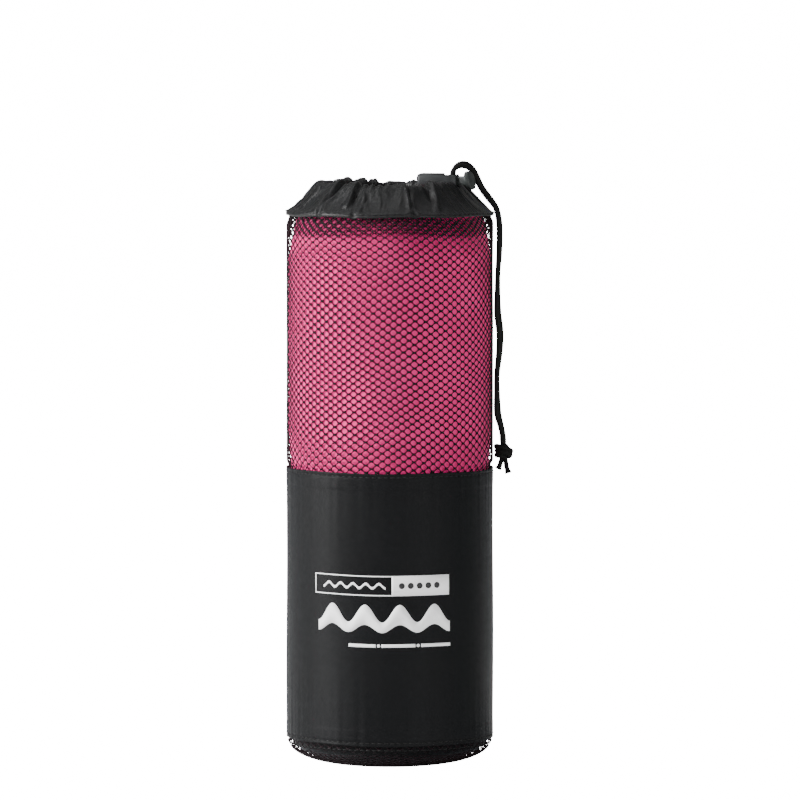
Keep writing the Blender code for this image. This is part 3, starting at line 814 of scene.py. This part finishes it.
def one_stitch():
    """A stitch along X: a thread that rises from the cloth, runs on it and dips again."""
    sections, sides = 5, 6
    vertices, faces = [], []
    for i in range(sections):
        share = i / (sections - 1)
        lift = THREAD * 0.9 * math.sin(math.pi * share) - 0.4 * THREAD
        size = THREAD * (0.65 + 0.35 * math.sin(math.pi * share))
        for j in range(sides):
            a = 2 * math.pi * j / sides
            vertices.append(((share - 0.5) * STITCH_LENGTH, size * math.cos(a), lift + size * math.sin(a)))
    for i in range(sections - 1):
        for j in range(sides):
            k = (j + 1) % sides
            faces.append((i * sides + j, (i + 1) * sides + j, (i + 1) * sides + k, i * sides + k))
    faces.append(tuple(range(sides)))
    faces.append(tuple((sections - 1) * sides + j for j in reversed(range(sides))))
    data = bpy.data.meshes.new("stitch")
    data.from_pydata(vertices, [], faces)
    shape = bmesh.new()
    shape.from_mesh(data)
    bmesh.ops.recalc_face_normals(shape, faces=shape.faces)
    shape.to_mesh(data)
    shape.free()
    return bpy.data.objects.new("stitch", data)


def stitch_tree():
    """Geometry nodes that set stitches end to end along a line and make them real."""
    tree = bpy.data.node_groups.new("stitch line", "GeometryNodeTree")
    given = tree_sockets(tree, {"Stitch": "Object", "Count": "Int", "Pitch": "Float", "Material": "Material"})
    line = add_node(tree, "GeometryNodeMeshLine", (), {
        "Count": given["Count"],
        "Offset": add_node(tree, "ShaderNodeCombineXYZ", (), {"X": given["Pitch"]}).outputs[0],
    })
    stitch = add_node(tree, "GeometryNodeObjectInfo", (), {"Object": given["Stitch"]}).outputs["Geometry"]
    lean = add_node(tree, "FunctionNodeRandomValue", {"data_type": "FLOAT"}, {2: -0.07, 3: 0.07, "Seed": 4}).outputs[1]
    turn = add_node(tree, "ShaderNodeCombineXYZ", (), {"Z": lean}).outputs[0]
    stitches = add_node(
        tree, "GeometryNodeInstanceOnPoints", (), {"Points": line.outputs[0], "Instance": stitch, "Rotation": turn}
    )
    real = add_node(tree, "GeometryNodeRealizeInstances", (), {"Geometry": stitches.outputs[0]})
    coloured = add_node(
        tree, "GeometryNodeSetMaterial", (), {"Geometry": real.outputs[0], "Material": given["Material"]},
    )
    add_node(tree, "NodeGroupOutput", (), {"Geometry": coloured.outputs[0]})
    return tree


STITCH = one_stitch()
STITCH_TREE = stitch_tree()
BLACK_THREAD = thread_material()


def stitched_round(name, radius_at, height_at, replaced):
    """A seam round the bag. radius_at and height_at give the cloth's face for an angle from the back seam."""
    around = 2 * math.pi * band_high.x
    count = round(around / STITCH_PITCH)
    pitch = around / count
    piece = made_by(STITCH_TREE, name, {"Stitch": STITCH, "Count": count, "Pitch": pitch, "Material": BLACK_THREAD})
    x, side, lift = positions(piece).T
    angle = x / around * 2 * math.pi
    radius = radius_at(angle) + lift
    height = height_at(angle) + side
    move_to(piece, np.stack([-radius * np.sin(angle), radius * np.cos(angle), height], -1))
    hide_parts(replaced)
    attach(piece, "bag")
    return piece


def on_band(height):
    return (
        lambda angle: band_radius(angle, height + 0 * angle) + BAND_THICKNESS / 2,
        lambda angle: height + band_edge(angle),
    )


stitched_round("band_top_stitches", *on_band(band_high.z - 1.8 * MM), "band_top_thread")
stitched_round("band_bottom_stitches", *on_band(band_low.z + 1.8 * MM), "band_bottom_thread")
stitched_round(
    "base_seam_stitches",
    lambda angle: base_rim + 0.5 * MM + 0 * angle,
    lambda angle: base_high.z + 0.15 * MM + 0 * angle,
    "base_seam_thread",
)


# Casing. A straight tube of thin black satin, folded over the drawcord and sewn down inside. The cord draws its
# top in from the bag's width to the mouth, so the cloth stands in soft irregular folds that fade to the seam.

CASING_COLUMNS = 540
CASING_SAG = 2.9 * MM           # how much flatter the cloth lies on the cord lock's side
CASING_CLOTH = woven(
    "black satin casing cloth", (0.0010, 0.0011, 0.0012), (0.0036, 0.0040, 0.0043), 0.34, 0.30 * MM,
    Sheen_Weight=0.05, Sheen_Roughness=0.30, Specular_IOR_Level=0.24,
)


def smooth_line(points, spacing):
    """Points about that far apart on one smooth curve (Catmull-Rom) through the given ones."""
    knots = [Vector(p) for p in points]
    ends = [2 * knots[0] - knots[1], *knots, 2 * knots[-1] - knots[-2]]
    route = [knots[0]]
    for before, start, end, after in zip(ends, ends[1:], ends[2:], ends[3:]):
        steps = max(1, round((end - start).length / spacing))
        for i in range(1, steps + 1):
            t = i / steps
            route.append(0.5 * (
                2 * start + (end - before) * t + (2 * before - 5 * start + 4 * end - after) * t ** 2
                + (3 * start - before - 3 * end + after) * t ** 3
            ))
    return route


CASING_PATH = [                 # radius and height of the drawn cloth, from its hem over the cord to its inner seam
    (51.75, 275.0), (51.75, 277.0), (50.7, 279.6), (48.4, 282.4), (45.4, 284.7), (41.9, 286.8), (38.5, 288.9),
    (35.8, 290.4), (33.8, 290.7), (32.0, 289.6), (31.2, 287.0), (32.3, 284.7), (36.0, 283.6), (40.5, 282.4),
    (44.9, 280.2), (48.5, 277.0), (50.4, 275.6),
]
FRONT_FOLDS = [                 # degrees from the front at hem and rim, height, and width to the left and right
    (-86, -85, 1.3, 3.0, 3.0), (-67, -66, 1.7, 4.5, 2.2), (-46, -44, 2.9, 6.0, 1.1), (-26, -27, 2.7, 6.5, 1.0),
    (-17, -18, 0.9, 2.2, 1.2), (12, 12, 2.3, 4.6, 1.0),
    (28, 35, 2.7, 1.1, 5.5), (46, 48, 1.2, 2.0, 2.0), (63, 61, 1.6, 5.0, 2.4), (80, 79, 1.1, 3.0, 3.0),
]
TUCKS = (-43, -20.5, 14)        # where the seam catches a small pinch of cloth, in degrees from the front


def all_folds():
    """The folds at the front, and others like them round the back."""
    draw = random.Random(41)
    folds = list(FRONT_FOLDS)
    at = 94.0
    while at < 266.0:
        sharp, soft = draw.uniform(1.0, 1.6), draw.uniform(3.5, 6.5)
        widths = (sharp, soft) if draw.random() < 0.5 else (soft, sharp)
        folds.append((at, at + draw.uniform(-5.0, 5.0), draw.uniform(1.3, 2.8), *widths))
        at += draw.uniform(9.0, 21.0)
    return folds


def drawn_casing():
    """The cloth as the cord draws it in: its points, how far along the path each row is, and the row on top."""
    path = np.array([(p.x, p.y) for p in smooth_line([(r, z, 0.0) for r, z in CASING_PATH], 0.9)]) * MM
    way = np.concatenate([[0.0], np.cumsum(np.linalg.norm(np.diff(path, axis=0), axis=1))])
    tangent = np.gradient(path, axis=0)
    tangent /= np.linalg.norm(tangent, axis=1, keepdims=True)
    rim = int(np.argmax(path[:, 1]))
    angle = np.linspace(0.0, 2 * math.pi, CASING_COLUMNS, endpoint=False)[None, :]
    up = np.clip(way / way[rim], 0.0, 1.0)[:, None]
    inside = eased(way[:, None], way[rim] + 5.0 * MM, way[-1])
    drawn = eased(way[:, None], 2.0 * MM, 0.8 * way[rim]) * (1 - 0.8 * inside)
    out = np.zeros((len(path), CASING_COLUMNS))
    for at_hem, at_rim, height, left_width, right_width in all_folds():
        crest = math.pi + np.radians(at_hem + (at_rim - at_hem) * up)
        aside = (np.mod(angle - crest + math.pi, 2 * math.pi) - math.pi) * path[:, :1] / MM
        width = np.where(aside < 0, left_width, right_width) * (0.7 + 0.3 * up)
        shape = 1.0 / (1.0 + (aside / width) ** 2)
        trough = np.exp(-(((np.abs(aside) - 2.1 * width) / (1.1 * width)) ** 2)) * (width < 2.0)
        out += height * (shape - 0.45 * trough)
    out -= out.mean(1, keepdims=True)
    gathers = np.sin(70 * angle + 5 * np.sin(3 * angle)) * ripples(angle, 0.0, 47, 11, 1.0, 9)
    near_cord = np.exp(-(((way - way[rim]) / (4.5 * MM)) ** 2))[:, None]
    creases = 0.10 * ripples(angle, way[:, None], 45, 40, 0.02, 30)
    out = np.where(out < 0, out * (1 - 0.55 * near_cord), out)
    out = MM * (out * drawn + 0.42 * gathers * near_cord + creases * drawn)
    pinch = sum(np.exp(-(((angle - math.pi - math.radians(a)) * path[0, 0] / (1.4 * MM)) ** 2)) for a in TUCKS)
    out -= 1.0 * MM * pinch * (1 - eased(way[:, None], 3.0 * MM, 10.0 * MM))
    sag = CASING_SAG * (0.5 - 0.5 * np.sin(angle)) * np.sin(np.pi * np.clip(up, 0.0, 1.0) ** 0.8) ** 1.2
    radius = path[:, :1] + out * tangent[:, 1:]
    height = path[:, 1:] - out * tangent[:, :1] - sag
    sway = 0.30 * MM * ripples(angle, 0.0, 43, 8, 1.0, 8) - 0.7 * MM * pinch
    height = height + sway * (1 - eased(way[:, None], 0.0, 9.0 * MM))
    points = np.stack([-radius * np.sin(angle), radius * np.cos(angle), height], -1)
    return points, way, rim


def settled(points, way, rim):
    """The cloth after a short simulation. Hem, cord line and inner seam are held, and the pleats find their own
    shape between them, because the cloth was cut a little wider than the drawn shape."""
    rows, columns = points.shape[:2]
    index = np.arange(rows * columns).reshape(rows, columns)
    right = np.roll(index, -1, 1)
    faces = np.stack([index[:-1], right[:-1], right[1:], index[1:]], -1).reshape(-1, 4)
    satin = mesh_piece("satin", points.reshape(-1, 3), faces, CASING_CLOTH)
    satin.shape_key_add(name="drawn")
    cut = satin.shape_key_add(name="cut")
    girth = np.linalg.norm(np.roll(points, -1, 1) - points, axis=2).sum(1) * CUT_WIDER
    angle = np.linspace(0.0, 2 * math.pi, columns, endpoint=False)
    radius = girth / (2 * math.pi)
    flat = np.stack([
        -radius[:, None] * np.sin(angle), radius[:, None] * np.cos(angle),
        way[:, None] * CUT_TALLER + 0 * angle[None, :],
    ], -1)
    cut.data.foreach_set("co", flat.ravel())
    held = satin.vertex_groups.new(name="held")
    held_rows = [i for i, w in enumerate(way) if w < 2.4 * MM or abs(w - way[rim]) < 2.2 * MM or i > rows - 3]
    held.add(index[held_rows].ravel().tolist(), 1.0, "REPLACE")
    cloth = satin.modifiers.new("cloth", "CLOTH")
    setup = cloth.settings
    setup.quality = 6
    setup.mass = 0.08
    setup.tension_stiffness = setup.compression_stiffness = 12.0
    setup.shear_stiffness = 3.0
    setup.bending_stiffness = 0.08
    setup.air_damping = 4.0
    setup.vertex_group_mass = "held"
    setup.rest_shape_key = cut
    setup.effector_weights.gravity = 0.3
    for number in range(1, SETTLE_FRAMES + 1):
        bpy.context.scene.frame_set(number)
    result = bpy.data.meshes.new_from_object(satin.evaluated_get(bpy.context.evaluated_depsgraph_get()))
    flat_places = np.zeros(len(result.vertices) * 3)
    result.vertices.foreach_get("co", flat_places)
    bpy.data.objects.remove(satin, do_unlink=True)
    bpy.context.scene.frame_set(1)
    moved = flat_places.reshape(points.shape) - points
    reach = np.linalg.norm(moved, axis=2, keepdims=True)
    return points + moved * np.minimum(1.0, MOST_MOVED / np.maximum(reach, 1e-9))


CUT_WIDER = 1.10
CUT_TALLER = 1.02
MOST_MOVED = 3.5 * MM
SETTLE_FRAMES = 16
casing_points, casing_way, casing_rim = drawn_casing()
casing_points = settled(casing_points, casing_way, casing_rim)
casing = cloth_piece("gathered_casing", casing_points, 0.45 * MM, CASING_CLOTH)
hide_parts("casing")
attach(casing, "bag")
seam_row = int(np.searchsorted(casing_way, 1.8 * MM))
seam_line = casing_points[seam_row]
seam_reach = np.hypot(seam_line[:, 0], seam_line[:, 1])
seam_angles = np.linspace(0.0, 2 * math.pi, CASING_COLUMNS, endpoint=False)
stitched_round(
    "casing_stitches",
    lambda angle: np.interp(angle, seam_angles, seam_reach, period=2 * math.pi) + 0.25 * MM,
    lambda angle: np.interp(angle, seam_angles, seam_line[:, 2], period=2 * math.pi),
    "casing_thread",
)


# Drawcord. A soft 2.4 mm cord braided from sixteen black polyester yarns. It runs round the casing, out of one
# slot and up through the lock as two strands, and both hang down the side to one knot.

CORD_DIAMETER = 2.4 * MM
BRAID_YARNS = 8                 # each way
BRAID_LAY = 5.2 * MM            # length of one turn of a yarn
STRAND_BACK = [
    (31.68, -10.58, 286.0), (31.68, -10.58, 288.6), (31.68, -10.58, 292.3), (31.74, -10.55, 295.8),
    (32.4, -10.3, 298.4), (34.3, -9.5, 300.2), (36.9, -8.3, 300.8), (39.5, -7.0, 299.8),
    (41.9, -5.9, 297.4), (43.8, -5.4, 293.8), (46.2, -5.2, 288.8), (49.7, -5.3, 284.0),
    (53.2, -5.5, 278.8), (54.8, -5.4, 272.6), (55.2, -5.0, 265.0), (54.9, -4.7, 255.0),
    (54.1, -4.4, 246.0), (54.1, -4.2, 235.0), (54.6, -4.2, 226.0), (55.7, -4.2, 216.0),
    (55.3, -4.1, 207.0), (53.8, -3.9, 195.0), (53.9, -3.8, 186.0), (54.6, -3.9, 176.0),
    (55.9, -4.1, 169.5), (56.8, -4.2, 165.0), (57.1, -4.4, 161.6),
]
STRAND_FRONT = [
    (31.12, -13.22, 286.0), (31.12, -13.22, 288.6), (31.12, -13.22, 292.3), (31.16, -13.2, 295.4),
    (31.8, -13.0, 297.4), (33.4, -12.5, 298.9), (35.7, -11.4, 299.5), (38.2, -10.1, 299.0),
    (40.5, -8.9, 297.4), (42.3, -8.1, 294.8), (43.7, -7.9, 291.6), (45.5, -7.9, 288.0),
    (48.7, -8.1, 283.6), (52.6, -8.3, 278.6), (54.1, -8.2, 272.6), (54.5, -7.8, 265.0),
    (54.3, -7.5, 255.0), (53.9, -7.2, 246.0), (53.5, -7.0, 235.0), (53.3, -6.8, 226.0),
    (54.4, -6.7, 216.0), (54.3, -6.7, 207.0), (53.4, -6.7, 195.0), (53.3, -6.6, 186.0),
    (53.3, -6.4, 176.0), (55.1, -6.8, 169.5), (56.1, -7.0, 165.0), (56.3, -7.2, 161.6),
]
TAIL_LONG = [(57.4, -6.0, 153.6), (58.0, -6.3, 151.6), (58.4, -6.8, 149.0), (59.3, -7.2, 145.8)]
TAIL_SHORT = [(56.2, -5.2, 153.4), (55.6, -5.2, 151.5), (55.0, -5.3, 149.6), (54.2, -5.7, 147.8)]
KNOT_CENTRE = Vector((56.9, -5.6, 156.6)) * MM


def cord_material():
    """Black braided polyester: crossing yarns on the piece's own map, a little dusty on top."""
    made, tree, shader = finish_material(
        "black braided cord", (0.004, 0.004, 0.004), 0.72,
        Sheen_Weight=0.02, Sheen_Roughness=0.5, Specular_IOR_Level=0.10,
    )
    flat = add_node(tree, "ShaderNodeUVMap", {"uv_map": "cloth"}).outputs[0]
    fibres = add_node(tree, "ShaderNodeMapping", (), {"Vector": flat, "Scale": (3000.0, 900.0, 1.0)})
    strands = add_node(
        tree, "ShaderNodeTexNoise", (), {"Vector": fibres.outputs[0], "Scale": 1.0, "Detail": 3.0},
    ).outputs[0]
    place = add_node(tree, "ShaderNodeTexCoord").outputs["Object"]
    dust = add_node(tree, "ShaderNodeTexNoise", (), {"Vector": place, "Scale": 160.0, "Detail": 4.0}).outputs[0]
    tone = sums(tree, "MULTIPLY", strands, dust)
    tree.links.new(two_colours(tree, tone, (0.0015, 0.0015, 0.0015), (0.014, 0.014, 0.014)), shader.inputs["Base Color"])
    relief(tree, shader, strands, 0.10 * MM, 0.7)
    return made


BRAIDED = cord_material()


def braided(name, route, diameter=CORD_DIAMETER, fray=1.0):
    """A braided cord along the route: yarns that wind each way cross over and under each other. A cut end is
    sealed by heat, and opens out by the share that fray says."""
    spacing, sides = 0.34 * MM, 20
    points = np.array([tuple(p) for p in route])
    way = np.concatenate([[0.0], np.cumsum(np.linalg.norm(np.diff(points, axis=0), axis=1))])
    count = max(4, int(way[-1] / spacing))
    at = np.linspace(0.0, way[-1], count)
    line = np.stack([np.interp(at, way, points[:, k]) for k in range(3)], -1)
    tangent = np.gradient(line, axis=0)
    tangent /= np.linalg.norm(tangent, axis=1, keepdims=True)
    side = Vector(tangent[0]).orthogonal().normalized()
    rings = []
    turn = np.linspace(0.0, 2 * math.pi, sides, endpoint=False)
    for i in range(count):
        ahead = Vector(tangent[i])
        side = (side - ahead * side.dot(ahead)).normalized()
        other = ahead.cross(side)
        lay = 2 * math.pi * at[i] / BRAID_LAY
        left = np.sin(BRAID_YARNS / 2 * (turn + lay))
        right = np.sin(BRAID_YARNS / 2 * (turn - lay))
        opened = 1 + (fray - 1) * float(eased(at[i], way[-1] - 2.2 * MM, way[-1]))
        radius = diameter / 2 * opened * (0.95 + 0.09 * opened ** 2 * np.maximum(left, right))
        rings.append(line[i] + radius[:, None] * (
            np.cos(turn)[:, None] * np.array(side) + np.sin(turn)[:, None] * np.array(other)))
    rings = np.array(rings)
    start, end = line[0], line[-1]
    vertices = np.concatenate([rings.reshape(-1, 3), [start, end]])
    index = np.arange(count * sides).reshape(count, sides)
    nextto = np.roll(index, -1, 1)
    walls = np.stack([index[:-1], nextto[:-1], nextto[1:], index[1:]], -1).reshape(-1, 4).tolist()
    caps = [(count * sides, int(b), int(a)) for a, b in zip(index[0], nextto[0])]
    caps += [(count * sides + 1, int(a), int(b)) for a, b in zip(index[-1], nextto[-1])]
    piece = mesh_piece(name, vertices, walls + caps, BRAIDED)
    flat = piece.data.uv_layers.new(name="cloth").data
    for loop in piece.data.loops:
        row, column = divmod(min(loop.vertex_index, count * sides - 1), sides)
        flat[loop.index].uv = (diameter * math.pi * column / sides, float(at[row]))
    return piece, [Vector(p) for p in line], way[-1]


def in_metres(points):
    return [p * MM for p in smooth_line(points, 0.8)]


LOCK_ENTRY = 2                  # the route's point in the middle of the lock
KNOT_ENTRY = (56.9, -5.4, 159.6)  # inside the knot's first turn
for name, points, node in (
    ("strand_back", STRAND_BACK, "drawcord_strand_back"), ("strand_front", STRAND_FRONT, "drawcord_strand_front"),
):
    riser, _, _ = braided(name + "_in_mouth", in_metres(points[: LOCK_ENTRY + 1]))
    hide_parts(node)
    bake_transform(riser)
    fall, line, length = braided(name, in_metres([*points[LOCK_ENTRY:], KNOT_ENTRY]))
    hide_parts(node)
    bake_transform(fall)


def knot_line(steps=170):
    """The line of a stopper knot: the doubled cord's turns lie on each other, wider below than above."""
    line = []
    for i in range(steps + 1):
        share = i / steps
        turn = 2 * math.pi * (3.1 * share + 0.1)
        reach = 2.55 + 0.75 * math.sin(math.pi * share) + 0.35 * math.sin(5.0 * turn / 3.1)
        reach = reach * min(1.0, 8 * share, 8 * (1 - share))
        lean = 0.9 * math.cos(turn + 0.8)
        line.append(KNOT_CENTRE + Vector((
            1.08 * reach * math.sin(turn), -0.86 * reach * math.cos(turn), 3.3 - 6.6 * share + lean)) * MM)
    return line


knot, _, _ = braided("knot", knot_line(), diameter=2.7 * MM)
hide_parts("drawcord_knot")
tail_long, _, _ = braided("tail_long", in_metres(TAIL_LONG), fray=1.35)
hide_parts("drawcord_tail_long")
tail_short, _, _ = braided("tail_short", in_metres(TAIL_SHORT), fray=1.25)
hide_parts("drawcord_tail_short")
for piece in (knot, tail_long, tail_short):
    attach(piece, "knot")

ring_low, ring_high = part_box("drawcord_ring")
ring_radius = ring_high.x - CORD_DIAMETER / 2
ring_height = (ring_low.z + ring_high.z) / 2
exit_angle = math.atan2(STRAND_BACK[0][1] + STRAND_FRONT[0][1], STRAND_BACK[0][0] + STRAND_FRONT[0][0])
gap_angle = 3.2 * MM / ring_radius
ring_line = []
for step in range(121):
    way_round = exit_angle + gap_angle + (2 * math.pi - 2 * gap_angle) * step / 120
    ring_line.append(Vector((ring_radius * math.cos(way_round), ring_radius * math.sin(way_round), ring_height)))
ring, _, _ = braided("cord_in_casing", ring_line)
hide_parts("drawcord_ring")
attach(ring, "bag")


# Cord lock. A moulded barrel with a sprung plunger: pressing the button lines up their slots, so that the cord
# runs free. Both are dark grey acetal with a fine spark-eroded grain, and the spring is steel wire.

BUTTON_BACK = 7.2 * MM          # from the middle of the cord slot, along the lock
BUTTON_SLANT = 0.20
lock_frame = Matrix.Rotation(math.radians(-12.0), 4, "Z")
lock_frame.translation = (Vector(STRAND_BACK[2]) + Vector(STRAND_FRONT[2])) / 2 * MM


def moulding_group():
    """Moulded plastic by place: a fine grain, a parting line at one height, and scuffs where hands rub it."""
    tree = bpy.data.node_groups.new("moulded plastic", "ShaderNodeTree")
    for name, kind in (("Place", "Vector"), ("Parting Height", "Float")):
        tree.interface.new_socket(name=name, in_out="INPUT", socket_type="NodeSocket" + kind)
    for name in ("Height", "Scuffs"):
        tree.interface.new_socket(name=name, in_out="OUTPUT", socket_type="NodeSocketFloat")
    given = tree.nodes.new("NodeGroupInput").outputs
    grain = add_node(
        tree, "ShaderNodeTexNoise", (), {"Vector": given["Place"], "Scale": 3200.0, "Detail": 2.0},
    ).outputs[0]
    level_at = add_node(tree, "ShaderNodeSeparateXYZ", (), {0: given["Place"]}).outputs["Z"]
    away = sums(tree, "ABSOLUTE", sums(tree, "SUBTRACT", level_at, given["Parting Height"]))
    parting = sums(tree, "LESS_THAN", away, 0.10 * MM)
    rubbed = add_node(
        tree, "ShaderNodeTexNoise", (), {"Vector": given["Place"], "Scale": 240.0, "Detail": 5.0},
    ).outputs[0]
    sharp = add_node(tree, "ShaderNodeNewGeometry").outputs["Pointiness"]
    edge = add_node(tree, "ShaderNodeMapRange", (), {0: sharp, 1: 0.52, 2: 0.62}).outputs[0]
    add_node(tree, "NodeGroupOutput", (), {
        "Height": sums(tree, "ADD", sums(tree, "MULTIPLY", grain, 0.5), parting),
        "Scuffs": sums(tree, "MULTIPLY", rubbed, sums(tree, "ADD", 0.6, edge)),
    })
    return tree


MOULDING = moulding_group()


def moulded(name, dark, light, roughness):
    made, tree, shader = finish_material(name, dark, roughness, Specular_IOR_Level=0.25)
    place = add_node(tree, "ShaderNodeTexCoord").outputs["Object"]
    surface = add_node(
        tree, "ShaderNodeGroup", {"node_tree": MOULDING},
        {"Place": place, "Parting Height": lock_frame.translation.z},
    ).outputs
    tree.links.new(two_colours(tree, surface["Scuffs"], dark, light), shader.inputs["Base Color"])
    scuffed = sums(tree, "ADD", roughness - 0.06, sums(tree, "MULTIPLY", surface["Scuffs"], 0.2))
    tree.links.new(scuffed, shader.inputs["Roughness"])
    relief(tree, shader, surface["Height"], 0.05 * MM, 0.6)
    return made


def spring_wire():
    """Drawn steel wire with fine lines along it."""
    made, tree, shader = finish_material("spring steel", (0.55, 0.55, 0.57), 0.28, Metallic=1.0)
    place = add_node(tree, "ShaderNodeTexCoord").outputs["Object"]
    drawn = add_node(tree, "ShaderNodeTexNoise", (), {"Vector": place, "Scale": 4000.0, "Detail": 2.0}).outputs[0]
    tree.links.new(two_colours(tree, drawn, (0.42, 0.42, 0.44), (0.66, 0.66, 0.68)), shader.inputs["Base Color"])
    relief(tree, shader, drawn, 0.02 * MM, 0.5)
    return made


def finished(name, node, material, round_below, body):
    """The node's own shape, welded and shaded round where its faces meet at less than that angle."""
    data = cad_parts[node].data.copy()
    data.name = name
    shape = bmesh.new()
    shape.from_mesh(data)
    bmesh.ops.remove_doubles(shape, verts=shape.verts, dist=0.005 * MM)
    for face in shape.faces:
        face.material_index = 0
    shape.to_mesh(data)
    shape.free()
    data.materials.clear()
    data.materials.append(material)
    data.shade_smooth()
    data.set_sharp_from_angle(angle=math.radians(round_below))
    piece = bpy.data.objects.new(name, data)
    bpy.context.collection.objects.link(piece)
    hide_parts(node)
    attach(piece, body)
    return piece


finished(
    "lock_barrel_shell", "lock_barrel", moulded("barrel acetal", (0.009, 0.010, 0.011), (0.030, 0.033, 0.034), 0.42),
    50.0, "lock",
)
plunger = finished(
    "lock_plunger_body", "lock_plunger", moulded("button acetal", (0.010, 0.012, 0.012), (0.036, 0.041, 0.039), 0.38),
    40.0, "plunger",
)
for corner in plunger.data.vertices:
    local = lock_frame.inverted() @ corner.co
    if local.x > BUTTON_BACK - 0.1 * MM:
        local.x += BUTTON_SLANT * (local.y - local.z)
        corner.co = lock_frame @ local
finished("lock_spring_wire", "lock_spring", spring_wire(), 60.0, "lock")
